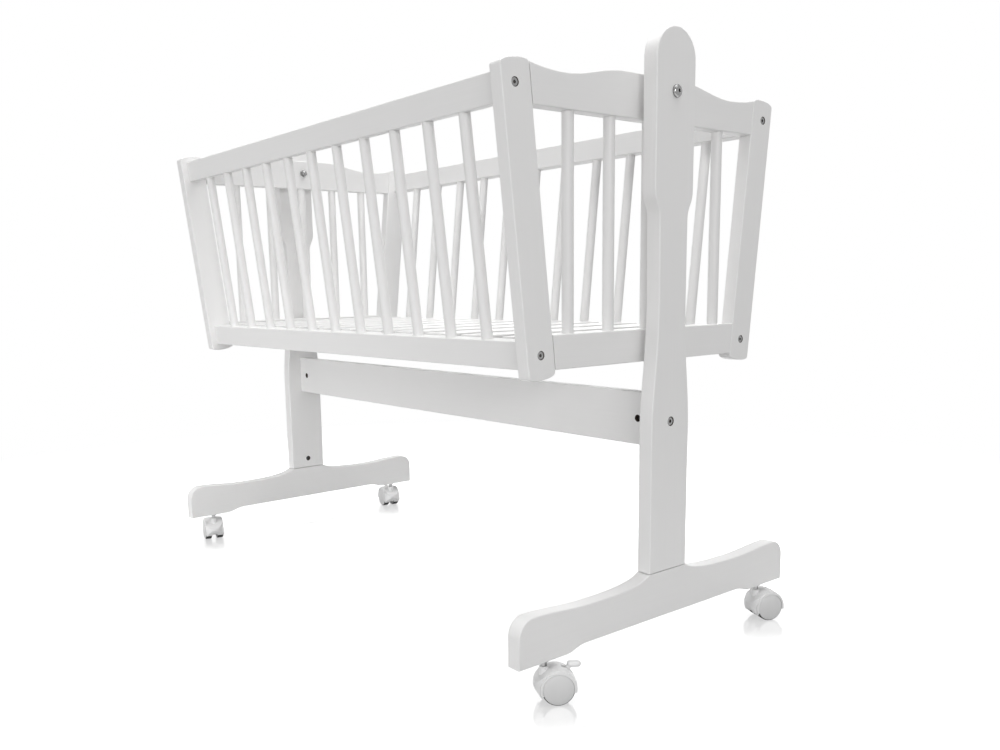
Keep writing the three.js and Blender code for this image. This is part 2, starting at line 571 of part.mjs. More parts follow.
// The hood over the wheels: a barrel turned about the axle, fuller in the middle
// than at its open sides, of which the outline keeps the part above the tail.
function hoodGeometry() {
  const barrel = [[0, -hoodHalf], [hoodEdge, -hoodHalf], [hoodEdge + (hoodCrown - hoodEdge) * 0.75, -hoodHalf / 2],
    [hoodCrown, 0], [hoodEdge + (hoodCrown - hoodEdge) * 0.75, hoodHalf / 2], [hoodEdge, hoodHalf], [0, hoodHalf]]
    .map(([radius, y]) => new THREE.Vector2(radius, y));
  const tail = rad(-12);
  const front = rad(140);
  const at = (radius, angle) => [TRAIL + radius * Math.cos(angle), axleZ + radius * Math.sin(angle)];
  const kept = new THREE.Shape();
  kept.moveTo(...at(hoodInner, tail)).lineTo(...at(2 * hoodCrown, tail));
  kept.lineTo(...at(3 * hoodCrown, rad(60))).lineTo(...at(2 * hoodCrown, front)).lineTo(...at(hoodInner, front));
  kept.quadraticCurveTo(TRAIL, axleZ - 2 * WEB_DROP, ...at(hoodInner, tail));
  return solid(new THREE.LatheGeometry(barrel, 40).translate(TRAIL, 0, axleZ))
    .intersect(solid(slab(kept, 4 * hoodHalf, 0, ALONG_Y, 6)));
}

// The nose in front of the hood, which carries the stem's boss: its side view
// slopes down and forwards, then back to the chin, and its plan is half an oval.
function noseGeometry() {
  const side = new THREE.Shape();
  const foot = axleZ - CHIN_DROP;
  side.moveTo(TRAIL / 2, axleZ + hoodInner - 1);
  side.bezierCurveTo(0, axleZ + hoodInner - 2.3, -HOOD_NOSE * 0.72, axleZ + 12.5, -HOOD_NOSE, axleZ + 5);
  side.quadraticCurveTo(-HOOD_NOSE - 0.6, axleZ + 1.5, -HOOD_NOSE + 1, axleZ - 1.5);
  side.lineTo(TRAIL - CHIN_BACK, foot).lineTo(2, foot + 1).lineTo(TRAIL / 2, axleZ);
  const plan = new THREE.Shape();
  plan.moveTo(TRAIL, -hoodHalf).lineTo(TRAIL, hoodHalf).lineTo(0, hoodHalf);
  plan.absellipse(0, 0, HOOD_NOSE, hoodHalf, Math.PI / 2, Math.PI * 1.5, false, 0);
  const block = new THREE.ExtrudeGeometry(plan, { depth: CASTOR_HEIGHT, bevelEnabled: false, curveSegments: 8 });
  return solid(slab(side, 2 * hoodHalf, NOSE_ROUND, ALONG_Y, 6)).intersect(solid(block));
}

function housingGeometry(brake) {
  const boss = rodZ(BOSS_DIAMETER, axleZ, bossTopZ, 14);
  const rooms = [-1, 1].map((side) => rodY(2 * hoodInner, Math.min(side * webHalf, side * 40),
    Math.max(side * webHalf, side * 40), WHEEL_FACETS, TRAIL, axleZ));
  const body = cut(hoodGeometry().add(noseGeometry()).add(solid(boss)), ...rooms,
    rodX(DISC_GAP, -CASTOR_HEIGHT, 0, 12, 0, axleZ - CHIN_DROP),
    rodZ(boreOver(STEM_DIAMETER, RUN, 12), bossTopZ - STEM_IN_BOSS, bossTopZ + 5, 12),
    rodY(boreOver(AXLE_DIAMETER, RUN, 12), -30, 30, 12, TRAIL, axleZ));
  if (!brake) return shell(body);
  // the lever's pocket: round its pin, open outwards through the hood
  const pocket = new THREE.Shape();
  const clear = LEVER_THICKNESS / 2 + 1.4;
  pocket.moveTo(pinX - clear, pinZ + hoodCrown).lineTo(pinX - clear, pinZ);
  pocket.absarc(pinX, pinZ, clear, Math.PI, Math.PI * 1.75, false);
  pocket.lineTo(pinX + hoodCrown * 0.8, pinZ + 2).lineTo(pinX + hoodCrown * 0.8, pinZ + hoodCrown);
  const pin = rodY(LEVER_PIN_DIAMETER, -LEVER_WIDTH / 2 - 1, LEVER_WIDTH / 2 + 1, 12, pinX, pinZ);
  return shell(cut(body, slab(pocket, LEVER_WIDTH + 1, 0, ALONG_Y, 6)).add(solid(pin)));
}

// The brake lever: an eye round its pin, an arm up through the hood, and a wider
// tread plate with a round tip over the trailing side.
function leverGeometry() {
  const t = LEVER_THICKNESS / 2;
  const r = PLATE_THICKNESS / 2;
  const topZ = pinZ + LEVER_RISE;
  const tipX = pinX + LEVER_REACH;
  const heelX = tipX - PLATE_LENGTH;
  const arm = new THREE.Shape();
  arm.moveTo(pinX - t, pinZ).absarc(pinX, pinZ, t, Math.PI, Math.PI * 2, false);
  arm.quadraticCurveTo(pinX + t, pinZ + LEVER_RISE * 0.4, heelX + 2 * t, topZ - r);
  arm.lineTo(heelX, topZ - r);
  arm.quadraticCurveTo(pinX - t, pinZ + LEVER_RISE * 0.45, pinX - t, pinZ);
  const plate = new THREE.Shape();
  plate.moveTo(heelX + r, topZ - 2 * r).lineTo(tipX - r, topZ - 2 * r);
  plate.absarc(tipX - r, topZ - r, r, -Math.PI / 2, Math.PI / 2, false);
  plate.lineTo(heelX + r, topZ);
  plate.absarc(heelX + r, topZ - r, r, Math.PI / 2, Math.PI * 1.5, false);
  const eye = rodY(boreOver(LEVER_PIN_DIAMETER, RUN, 12), -LEVER_WIDTH, LEVER_WIDTH, 12, pinX, pinZ);
  return shell(cut(join(slab(plate, PLATE_WIDTH, 1, ALONG_Y, 5), slab(arm, LEVER_WIDTH, 0, ALONG_Y, 5)), eye));
}

// Assembly
const cradle = new THREE.Group();

function add(parent, name, geometry, material) {
  const mesh = new THREE.Mesh(geometry, material);
  mesh.name = name;
  parent.add(mesh);
  return mesh;
}

const ENDS = [['near', 1], ['far', -1]];
const SIDES = [['left', -1], ['right', 1]];

for (const [endName, end] of ENDS) {
  add(cradle, `upright_${endName}`, uprightGeometry(end), paint);
  add(cradle, `foot_${endName}`, footGeometry(end), paint);
  add(cradle, `head_rail_${endName}`, headRailGeometry(end), paint);
  add(cradle, `end_rail_with_dowels_${endName}`, endRailGeometry(end), paint);
  const pivot = new THREE.Group();
  pivot.position.z = pivotZ;
  pivot.rotation.z = end > 0 ? 0 : Math.PI;
  add(pivot, `pivot_bolt_${endName}`, pivotBoltGeometry(), steel);
  add(pivot, `pivot_spacer_${endName}`, pivotSpacerGeometry(), nylon);
  add(pivot, `pivot_cap_nut_${endName}`, capNutGeometry(), steel);
  cradle.add(pivot);
}
add(cradle, 'stretcher', stretcherGeometry(), paint);
add(cradle, 'slatted_base', slattedBaseGeometry(), slatPaint);

for (const [sideName, side] of SIDES) {
  const turned = new THREE.Group();
  turned.rotation.z = side < 0 ? 0 : Math.PI;         // the right side is the left one turned round
  const panel = new THREE.Group();
  panel.position.set(0, -LOW_BOLT_SPAN / 2, lowBoltZ);
  panel.rotation.x = lean;
  turned.add(panel);
  cradle.add(turned);
  for (const [endName, end] of ENDS) {
    const post = add(panel, `corner_post_${endName}_${sideName}`, postGeometry(), paint);
    post.position.x = -side * end * panelX;
    post.rotation.z = -side * end > 0 ? 0 : Math.PI;
  }
  add(panel, `side_top_rail_${sideName}`, sideRailGeometry(true), paint);
  add(panel, `side_bottom_rail_${sideName}`, sideRailGeometry(false), paint);
  sideDowelX.forEach((x, i) => {
    const number = String(i + 1).padStart(2, '0');
    add(panel, `side_dowel_${sideName}_${number}`, sideDowelGeometry(-side * x), paint);
  });
}

for (const { name, end, side, heading, brake } of CASTORS) {
  const castor = new THREE.Group();
  castor.position.set(end * uprightX, side * (FOOT_SPAN / 2 - CASTOR_IN), 0);
  add(castor, `castor_stem_${name}`, stemGeometry(), steel);
  const swivel = new THREE.Group();
  swivel.rotation.z = rad(heading);
  add(swivel, `castor_housing_${name}`, housingGeometry(brake), hoodPlastic);
  add(swivel, `castor_wheels_${name}`, wheelPairGeometry(), wheelPlastic);
  if (brake) add(swivel, `brake_lever_${name}`, leverGeometry(), hoodPlastic);
  castor.add(swivel);
  cradle.add(castor);
}

export default cradle;
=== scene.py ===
# %% [markdown]
# # A painted swinging cradle, dressed cell by cell
#
# The cradle is a stand of two uprights on castors, and a basket of boards and
# round dowels that swings between them.  The CAD model already fixes where
# everything is.  Here each board, dowel, bolt and castor gets the soft edges and
# the finish that paint, plastic and steel have in a photograph.
#
# Everything is in metres, with +Z up, +X along the cradle and +Y across it.

# %% Load the frame
from math import atan2, comb, cos, degrees, pi, radians, sin, tan

import bmesh
import bpy
import numpy as np
from mathutils import Matrix, Vector


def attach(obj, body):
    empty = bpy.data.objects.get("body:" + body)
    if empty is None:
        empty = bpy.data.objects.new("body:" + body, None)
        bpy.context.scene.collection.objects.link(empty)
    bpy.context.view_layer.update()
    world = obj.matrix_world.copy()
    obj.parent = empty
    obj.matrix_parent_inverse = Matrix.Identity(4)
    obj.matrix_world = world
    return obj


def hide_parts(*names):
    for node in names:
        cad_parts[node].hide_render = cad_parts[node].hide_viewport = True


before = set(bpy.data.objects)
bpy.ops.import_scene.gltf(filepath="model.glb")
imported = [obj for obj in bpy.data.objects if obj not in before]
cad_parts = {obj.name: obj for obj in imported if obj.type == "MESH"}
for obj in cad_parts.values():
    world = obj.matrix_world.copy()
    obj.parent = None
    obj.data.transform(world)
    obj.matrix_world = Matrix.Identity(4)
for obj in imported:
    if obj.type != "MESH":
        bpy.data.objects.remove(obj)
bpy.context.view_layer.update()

# %% [markdown]
# ## Shader sums in plain Python
#
# A material is a little sum worked out at every point of a surface.  Wiring Math
# nodes by hand hides that sum, so a small class wraps a socket and lets Python's
# own +, - and * add the nodes.  Any other node comes from one method, `node`.

# %% Shader helpers
class Amount:
    """A number that changes over a surface: a socket that Python can do sums with."""

    def __init__(self, tree, socket):
        self.tree, self.socket = tree, socket

    def _sum(self, operation, first, second):
        maths = self.tree.nodes.new("ShaderNodeMath")
        maths.operation = operation
        for place, value in zip(maths.inputs, (first, second)):
            plug(self.tree, place, value)
        return Amount(self.tree, maths.outputs[0])

    def __add__(self, other):
        return self._sum("ADD", self, other)

    def __rsub__(self, other):
        return self._sum("SUBTRACT", other, self)

    def __mul__(self, other):
        return self._sum("MULTIPLY", self, other)

    __radd__, __rmul__ = __add__, __mul__


def plug(tree, place, value):
    """Links a socket or an Amount into a node's input, or sets it to a plain value."""
    if isinstance(value, Amount):
        value = value.socket
    if isinstance(value, bpy.types.NodeSocket):
        tree.links.new(value, place)
    else:
        place.default_value = value


class Finish:
    """One material under construction, with its Principled shader ready to be fed."""

    def __init__(self, name, colour, roughness, metallic=0.0):
        self.material = bpy.data.materials.new(name)
        self.material.use_nodes = True
        self.tree = self.material.node_tree
        self.shader = self.tree.nodes["Principled BSDF"]
        self.feed("Base Color", (*colour, 1.0))
        self.feed("Roughness", roughness)
        self.feed("Metallic", metallic)

    def node(self, kind, settings=None, out=0, **sockets):
        """Adds a node: its settings first, then its sockets by name, and gives one output."""
        made = self.tree.nodes.new(kind)
        for key, value in (settings or {}).items():
            setattr(made, key, value)
        for key, value in sockets.items():
            plug(self.tree, made.inputs[key.replace("_", " ")], value)
        return made.outputs[out]

    def amount(self, *args, **kwargs):
        """A node whose output is a number to do sums with."""
        return Amount(self.tree, self.node(*args, **kwargs))

    def feed(self, socket, value):
        plug(self.tree, self.shader.inputs[socket], value)

    def noise(self, where, size, detail, stretch=(1, 1, 1)):
        """Soft random relief with blobs about `size` metres across, drawn out by `stretch`."""
        scale = tuple(1 / (size * s) for s in stretch)
        scaled = self.node("ShaderNodeMapping", Vector=where, Scale=scale)
        return self.amount("ShaderNodeTexNoise", Vector=scaled, Scale=1.0, Detail=detail)

    def tint(self, share, first, second):
        """A colour between two, by a share from 0 to 1.  A Mix node keeps its colour
        sockets behind those for numbers and vectors, so they are found by place."""
        mix = self.tree.nodes.new("ShaderNodeMix")
        mix.data_type = "RGBA"
        plug(self.tree, mix.inputs["Factor"], share)
        mix.inputs[6].default_value = (*first, 1.0)
        mix.inputs[7].default_value = (*second, 1.0)
        return mix.outputs[2]

    def relief(self, height, distance, strength):
        """Raises the surface by height times distance, in metres, through its normals."""
        self.feed("Normal", self.node("ShaderNodeBump", Height=height, Distance=distance,
            Strength=strength))


def grey(level, warm=0.0):
    """A screen grey from 0 to 1 as linear light, a little warmer when warm is above 0."""
    return tuple((min(1.0, level + shift)) ** 2.2 for shift in (warm, 0.0, -warm))


# %% [markdown]
# ## White paint over timber
#
# The boards are sprayed with a satin white.  Close up, such paint shows three
# things: the fibres of the wood below as a faint relief along the board, the
# pebbled skin that spray leaves, and a broad drift of tone.  Fibres follow the
# board and not the room, so every board carries an attribute called grain, its
# own lengthwise, crosswise and through-thickness place, and the pattern reads that.

# %% Painted timber
def painted_timber(name, level, warm=0.002):
    paint = Finish(name, grey(level, warm), 0.42)
    grain = paint.node("ShaderNodeAttribute", {"attribute_name": "grain"}, out="Vector")
    fibres = paint.noise(grain, 0.0016, 4.0, stretch=(60, 1, 1))
    pores = paint.noise(grain, 0.0005, 2.0, stretch=(16, 1, 1))
    skin = paint.noise(grain, 0.0012, 2.0)
    drift = paint.noise(grain, 0.12, 2.0, stretch=(3, 1, 1))
    tone = 0.55 * drift + 0.45 * fibres
    paint.feed("Base Color", paint.tint(tone, grey(level - 0.022, warm), grey(level + 0.012, warm)))
    paint.feed("Roughness", 0.33 + 0.10 * fibres + 0.08 * drift)
    paint.relief(fibres * 0.55 + pores * 0.2 + skin * 0.25, 0.00012, 0.6)
    return paint.material


board_paint = painted_timber("board_paint", 0.93)
dowel_paint = painted_timber("dowel_paint", 0.915)
# The slats are painted a little darker than the boards: painted shade that offsets the extra light
# on their upward faces.
slat_paint = painted_timber("slat_paint", 0.90)

# Painted shade: a drilled hole is left unpainted inside and coloured a dark grey, for the shade
# down the bore.
bore_shade_finish = Finish("bore_shade", grey(0.20, 0.03), 0.8)
fibres = bore_shade_finish.noise(bore_shade_finish.node("ShaderNodeTexCoord", out="Object"), 0.0007, 3.0)
bore_shade_finish.feed("Base Color", bore_shade_finish.tint(fibres, grey(0.12, 0.03), grey(0.30, 0.04)))
bore_shade_finish.relief(fibres, 0.0001, 0.6)
bore_shade = bore_shade_finish.material
print("paints:", board_paint.name, dowel_paint.name, slat_paint.name, bore_shade.name)

# %% [markdown]
# ## Moulded plastic
#
# The castors are moulded in a cool, pale grey.  A hood comes out of a polished
# mould with a slight sheen and long soft flow marks, and a wheel out of an etched
# one, so it is duller and very finely pebbled.  Both read Object coordinates, as
# the pieces stand at the origin unturned.

# %% Plastics
def moulded(name, level, roughness, pebble, sheen):
    plastic = Finish(name, grey(level), roughness)
    where = plastic.node("ShaderNodeTexCoord", out="Object")
    etched = plastic.noise(where, pebble, 2.0)
    flow = plastic.noise(where, 0.012, 1.5, stretch=(1, 1, 2.5))
    tone = 0.7 * flow + 0.3 * etched
    plastic.feed("Base Color", plastic.tint(tone, grey(level - 0.02), grey(level + 0.015)))
    plastic.feed("Roughness", roughness - 0.05 + sheen * flow + 0.06 * etched)
    plastic.relief(etched, 0.00005, 0.5)
    return plastic.material


hood_plastic = moulded("hood_plastic", 0.92, 0.32, 0.0009, 0.10)
wheel_plastic = moulded("wheel_plastic", 0.86, 0.46, 0.0005, 0.05)
nylon = moulded("spacer_nylon", 0.86, 0.5, 0.0007, 0.05)
# Near black for the tyres, which also paints the contact shade under the wheels.
tyre_and_shade = moulded("tyre_and_contact_shade", 0.07, 0.6, 0.0005, 0.05)
print("plastics:", hood_plastic.name, wheel_plastic.name, nylon.name, tyre_and_shade.name)

# %% [markdown]
# ## Bright steel
#
# Bolts and pins are zinc plated: a clean grey metal with fine turning rings and a
# patchy gloss.  The polished pivots are the brightest, and the heads that sit down
# in their holes are duller.  The inside of a socket is painted black for the shade
# in it, and a darker plate paints the shade on barrel nuts deep in their bores.

# %% Steels
def plated(name, level, roughness):
    steel = Finish(name, grey(level), roughness, 1.0)
    where = steel.node("ShaderNodeTexCoord", out="Object")
    turning = steel.noise(where, 0.0006, 1.0)
    patches = steel.noise(where, 0.006, 3.0)
    steel.feed("Base Color", steel.tint(patches, grey(level - 0.06), grey(level + 0.05)))
    steel.feed("Roughness", roughness - 0.04 + 0.12 * patches + 0.05 * turning)
    steel.relief(turning, 0.00004, 0.5)
    return steel.material


bright_zinc = plated("bright_zinc", 0.56, 0.13)
dull_zinc = plated("dull_zinc", 0.55, 0.32)
# A darker plate: painted shade on the barrel nuts deep in their bores and in the corner bolts'
# sockets.
shade_plate = plated("shade_plate", 0.40, 0.34)
# Black for the painted shade down a socket.
socket_shade = plated("socket_shade", 0.12, 0.45)
print("steels:", bright_zinc.name, dull_zinc.name, shade_plate.name, socket_shade.name)

# %% [markdown]
# ## Outlines
#
# A shaped board begins as an outline on paper: straight runs, arcs and swelling
# curves.  Each helper below gives its curve as an array of points, so an outline
# is a list of arrays laid end to end.

# %% Outline helpers
def run(*points):
    """Straight lines through the points given."""
    return np.array(points, float)


def curve(steps, *points):
    """A Bezier curve: the sum of C(n, k) (1-t)^(n-k) t^k times the k-th of its n + 1 points."""
    t, n = np.linspace(0, 1, steps + 1)[:, None], len(points) - 1
    return sum(comb(n, k) * (1 - t) ** (n - k) * t ** k * np.array(point, float)
        for k, point in enumerate(points))


def arc(centre, radius, first, last, steps=16):
    """Points at centre + radius (cos a, sin a), with a going from first to last in degrees."""
    a = np.radians(np.linspace(first, last, steps + 1))
    return np.array(centre, float) + radius * np.stack([np.cos(a), np.sin(a)], 1)


def outline(*parts, mirror=False):
    """Joins the parts into one closed loop, drops doubled points, and adds the mirror
    image (-x, y) in reverse order where only the right half was drawn."""
    points = np.concatenate([np.atleast_2d(p) for p in parts])
    if mirror:
        points = np.concatenate([points, (points * [-1, 1])[::-1]])
    step = np.linalg.norm(points - np.roll(points, 1, 0), axis=1)
    return points[step > 2e-5]


def drawn_in(loop, amount):
    """The loop moved inwards by an amount for each edge (edge i runs from point i to i+1).
    A corner lands where its two moved edges cross; where they are nearly in line it
    simply moves along their common normal."""
    along = np.roll(loop, -1, 0) - loop
    along /= np.linalg.norm(along, axis=1)[:, None]
    after = np.stack([-along[:, 1], along[:, 0]], 1)
    before, d1 = np.roll(after, 1, 0), np.broadcast_to(amount, len(loop))
    d0 = np.roll(d1, 1)
    cross = before[:, 0] * after[:, 1] - before[:, 1] * after[:, 0]
    bent = np.abs(cross) > 0.3
    corner = np.stack([d0 * after[:, 1] - d1 * before[:, 1],
                       d1 * before[:, 0] - d0 * after[:, 0]], 1)
    corner /= np.where(bent, cross, 1.0)[:, None]
    middle = before + after
    middle *= ((d0 + d1) / 2 / (1 + (before * after).sum(1)))[:, None]
    return loop + np.where(bent[:, None], corner, middle)


# %% [markdown]
# ## Boards with eased edges
#
# A router runs round a board and leaves a quarter round on its edge.  As a
# surface that is a grid: one way runs along the outline, the other climbs the
# quarter round, crosses the edge and rolls over the far side.  Two flat faces
# close it.  Where a board butts against another its end stays square, so the
# easing is given for each edge of the outline.

# %% The board surface
def board(loop, thickness, ease, steps=4, square=None):
    """Rings over the angle v: drawn in by ease (1 - sin v), at height
    -thickness/2 + ease (1 - cos v), then the same again upside down."""
    v = np.linspace(0, pi / 2, steps + 1)
    share = np.concatenate([1 - np.sin(v), (1 - np.sin(v))[::-1]])
    low = -thickness / 2 + ease * (1 - np.cos(v))
    height = np.concatenate([low, -low[::-1]])[:, None, None]
    per_edge = np.full(len(loop), ease) if square is None else np.where(square, 0.12 * ease, ease)
    rings = np.stack([drawn_in(loop, per_edge * s) for s in share])
    corners = np.concatenate([rings, np.broadcast_to(height, (*rings.shape[:2], 1))], 2)
    return corners.reshape(-1, 3), tube_faces(len(share), len(loop))


def tube_faces(rings, around, hole=False):
    """Quads between each ring and the next, closed round, with a flat face at both ends;
    where there is a hole instead, the last ring joins back to the first."""
    ring, turn = np.meshgrid(np.arange(rings - 1 + hole), np.arange(around), indexing="ij")
    here, beside = ring * around + turn, ring * around + (turn + 1) % around
    faces = np.stack([here, beside, beside + around, here + around], -1).reshape(-1, 4)
    caps = [] if hole else [list(range(around))[::-1],
                            list(range((rings - 1) * around, rings * around))]
    return (faces % (rings * around)).tolist() + caps


def rounded_section(width, height, radius, steps=4):
    """A rectangle with quarter-round corners: four arcs laid end to end."""
    w, h = width / 2 - radius, height / 2 - radius
    corners = [((w, -h), -90), ((w, h), 0), ((-w, h), 90), ((-w, -h), 180)]
    return outline(*[arc(c, radius, a, a + 90, steps) for c, a in corners])


# %% [markdown]
# ## Turned pieces
#
# Dowels, bolts, stems and wheels are all turned: a profile swept round an axis.
# A hexagon socket fits the same scheme, if the radius of a ring may depend on the
# angle.  So a ring is a radius, a height, and whether it is round or six-sided.

# %% The turned surface
def turned(rings, around=48, hole=False):
    """Corner at angle a of ring (r, h, shape): r (cos a, sin a, .) at height h.  For
    'hex', r is divided by cos of the angle to the nearest flat's middle; for 'cross' it
    swells four times round.  Rings run from the bottom pole to the top pole, and a
    quarter round on the profile is an arc of four steps."""
    a = np.arange(around) * 2 * pi / around
    flat = np.abs((a + pi / 6) % (pi / 3) - pi / 6)
    shapes = {"round": np.ones(around), "hex": 1 / np.cos(flat),
              "cross": 0.42 + 0.58 * np.abs(np.cos(2 * a)) ** 6}
    rows = [(*ring, "round")[:3] for ring in rings]
    radius = np.stack([r * shapes[shape] for r, _, shape in rows])
    height = np.array([h for _, h, _ in rows])[:, None] + np.zeros(around)
    corners = np.stack([radius * np.cos(a), radius * np.sin(a), height], -1).reshape(-1, 3)
    return corners, tube_faces(len(rows), around, hole)


# %% [markdown]
# ## From arrays to finished pieces
#
# A piece is made in its own small frame and set in place by three directions and
# an origin.  Its mesh then holds the true place, and the object stays at the
# world's origin, so patterns don't slide.  Smooth shading is split at real
# corners, and a Weighted Normal modifier keeps wide faces flat beside soft edges.

# %% Piece helpers
X, Y, Z = (np.array(axis, float) for axis in np.eye(3))
end_on = (Y, Z, X)  # the ways of a shape drawn as it is seen from the cradle's end
made = []
unpainted = bpy.data.materials.new("unpainted")


def put(name, data):
    """Puts an object into the scene."""
    thing = bpy.data.objects.new(name, data)
    bpy.context.scene.collection.objects.link(thing)
    return thing


def set_down(name, shape, origin=(0, 0, 0), ways=(X, Y, Z), material=unpainted):
    """Makes an object of a shape, which is its corners and its faces.  Corner (u, v, w)
    goes to origin + u, v and w along the three ways, and the faces point outwards."""
    corners, faces = shape
    mesh = bpy.data.meshes.new(name)
    mesh.from_pydata((np.array(origin) + corners @ np.stack(ways)).tolist(), [], faces)
    mesh.materials.append(material)
    whole = bmesh.new()
    whole.from_mesh(mesh)
    bmesh.ops.remove_doubles(whole, verts=whole.verts, dist=1e-7)
    bmesh.ops.recalc_face_normals(whole, faces=whole.faces)
    whole.to_mesh(mesh)
    whole.free()
    return put(name, mesh)


def facing(out, side):
    """The ways of a turned piece: sideways, square to that, and out along its axis."""
    return side, np.cross(out, side), out


def applied(thing):
    """Puts what a piece's modifiers make of it into its mesh."""
    worked = thing.evaluated_get(bpy.context.evaluated_depsgraph_get())
    mesh = bpy.data.meshes.new_from_object(worked)
    thing.modifiers.clear()
    thing.data = mesh
    return thing


def carve(thing, *tools, how="DIFFERENCE"):
    """Cuts the tools out of a piece, or joins them to it, and throws them away.  A cut
    keeps the tool's own material, so that a bore keeps its painted shade inside."""
    for tool in tools:
        change = thing.modifiers.new(how.lower(), "BOOLEAN")
        change.object, change.operation, change.solver = tool, how, "EXACT"
        change.material_mode = "TRANSFER"
    applied(thing)
    for tool in tools:
        bpy.data.objects.remove(tool)
    return thing


def finished(thing, body, material, slot, nodes=(), grain=None, crease=35):
    """Shades a piece, gives it its finish and its body, and hides the CAD nodes it stands for.
    grain is (origin, lengthwise direction, crosswise direction) of its timber."""
    mesh = thing.data
    index = np.zeros(len(mesh.polygons), np.int32)
    mesh.polygons.foreach_get("material_index", index)
    # Faces cut by a drill keep the dark bore finish: painted shade inside the hole.
    bored = np.array([old == bore_shade for old in mesh.materials])[index] & (slot == "painted_wood")
    mesh.materials.clear()
    mesh.materials.append(material)
    if bored.any():
        mesh.materials.append(bore_shade)
    mesh.polygons.foreach_set("material_index", bored.astype(np.int32))
    mesh.polygons.foreach_set("use_smooth", np.ones(len(mesh.polygons), bool))
    mesh.set_sharp_from_angle(angle=radians(crease))
    if grain is not None:
        origin, length, cross = grain
        place = np.zeros(len(mesh.vertices) * 3, np.float32)
        mesh.vertices.foreach_get("co", place)
        axes = np.stack([length, cross, np.cross(length, cross)], 1)
        own = (place.reshape(-1, 3) - np.array(origin)) @ axes
        shift = len(made) * np.array([0.37, 0.113, 0.071])  # no two boards are alike
        mesh.attributes.new("grain", "FLOAT_VECTOR", "POINT").data.foreach_set("vector",
            (own + shift).astype(np.float32).ravel())
    even = thing.modifiers.new("even_shading", "WEIGHTED_NORMAL")
    even.keep_sharp = True
    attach(thing, body)
    if nodes:
        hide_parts(*nodes)
    made.append(thing.name)
    return thing


def drill(origin, direction, radius, depth, around=32):
    """A round cutter that starts a little outside the surface."""
    direction = np.array(direction, float)
    side = Y if abs(direction[0]) > 0.5 else X
    # The cutter carries the dark bore finish, the painted shade that a cut leaves inside.
    return set_down("cutter", turned([(radius, -0.004), (radius, depth)], around), origin,
        facing(direction, side), bore_shade)


# %% [markdown]
# ## The sizes that the pieces share
#
# The same sizes as in the CAD source, in metres.  The side panels lean outwards,
# so a place on them is given as a distance out across the panel and a distance
# up its posts, both from the lower corner bolt.

# %% Sizes
ends, sides = {"near": 1, "far": -1}, {"left": -1, "right": 1}
fit = 0.0003  # between pieces that are glued, bolted or laid together
seam = 0.0009  # between an upright and its foot
top, board_thick, half, waist = 0.822, 0.022, 0.03725, 0.02625
upright_x, outer_x, inner_x = 0.497, 0.508, 0.486
seat_z, under_z, span = 0.1255, 0.055, 0.2705
arch_z = under_z + 0.007
panel_x, panel_thick, inner_half = 0.462, 0.020, 0.452
panel_face = panel_x + panel_thick / 2
low_half, low_z, rise, rail_high = 0.1995, 0.426, 0.309, 0.036
rail_thick, rail_out, pivot_z, stem_y = 0.018, 0.002, 0.745, 0.221
rod, rod_in, end_pitch, end_rod = 0.0075, 0.0063, 0.0723, (0.438, 0.7257)
post_inside, rail_inside = -0.0227, -0.0073  # faces of posts and rails, outwards from the bolts
lean = atan2(0.035, rise)
cos_lean, sin_lean = cos(lean), sin(lean)
bolt_line = rise / cos_lean
stretcher_high = 0.0725
stretcher_z = low_z - 0.0305 * cos_lean - 0.0305 - stretcher_high / 2
nut_x, nut_z = 0.459, seat_z + 0.027 - board_thick / 3
big_ease, small_ease = 0.0018, 0.0016

# Radius and depth of the holes for frame bolts, corner bolts and barrel nuts, and how
# far below the wood's face a bolt's head is seated.
frame_recess, post_recess, nut_bore = (0.0063, 0.0025), (0.0056, 0.0025), (0.005, 0.013)
seated, nut_sunk, nut_y = 0.0024, 0.0115, 0.0025


def side_frame(side):
    """The leaning panel's own ways on one side: across it (-u is outwards), up its posts
    and along x; and its origin, in the middle of the lower bolt line."""
    across, up = np.array([0, -side * cos_lean, sin_lean]), np.array([0, side * sin_lean, cos_lean])
    return (across, up, np.cross(across, up)), np.array([0, side * low_half, low_z])


def lean_half(out, z):
    """The half-width at height z of a line leaning with the panel, out metres outside the bolts."""
    return low_half + out / cos_lean + (z - low_z) * tan(lean)


print("lean of the sides, degrees:", round(degrees(lean), 2))

# %% [markdown]
# ## Uprights
#
# Each upright is one board: a round head with the pivot in its middle, an ogee in
# to a waist that clears the basket, and a long flare out again to the foot.

# %% Uprights
def upright_outline():
    flare, waist_z, shoulder, ogee = top - 0.507, top - 0.325, top - 0.214, 0.038
    neck = waist + (half - waist) * 0.12
    reach = waist_z - flare
    return outline(
        run((0, seat_z + seam), (half, seat_z + seam)),
        curve(26, (half, flare), (half, flare + reach * 0.34), (waist, flare + reach * 0.5),
              (waist, waist_z)),
        curve(18, (neck, shoulder - ogee / 2), (neck, shoulder), (half, shoulder),
              (half, shoulder + ogee / 2)),
        arc((0, top - half), half, 0, 90, 24), mirror=True)


for name, end in ends.items():
    loop = upright_outline()
    square = np.abs(loop[:, 1] + np.roll(loop[:, 1], -1) - 2 * seat_z) < 0.002
    piece = set_down(f"shaped_upright_{name}", board(loop, board_thick, big_ease, square=square),
        (end * upright_x, 0, 0), end_on)
    carve(piece, drill((end * outer_x, 0, stretcher_z), (-end, 0, 0), *frame_recess),
        drill((end * inner_x, 0, nut_z), (end, 0, 0), *nut_bore))
    finished(piece, "stand", board_paint, "painted_wood", [f"upright_{name}"], ((0, 0, 0), Z, Y))
print("uprights:", len(loop), "points round each outline")

# %% [markdown]
# ## Feet and stretcher
#
# A foot is sawn from a board too: a rounded top corner at each end, a long dip,
# and a sweep up to the seat of the upright.  Its underside rises between the two
# pads that the castors are let into.  The stretcher is a plain eased board.

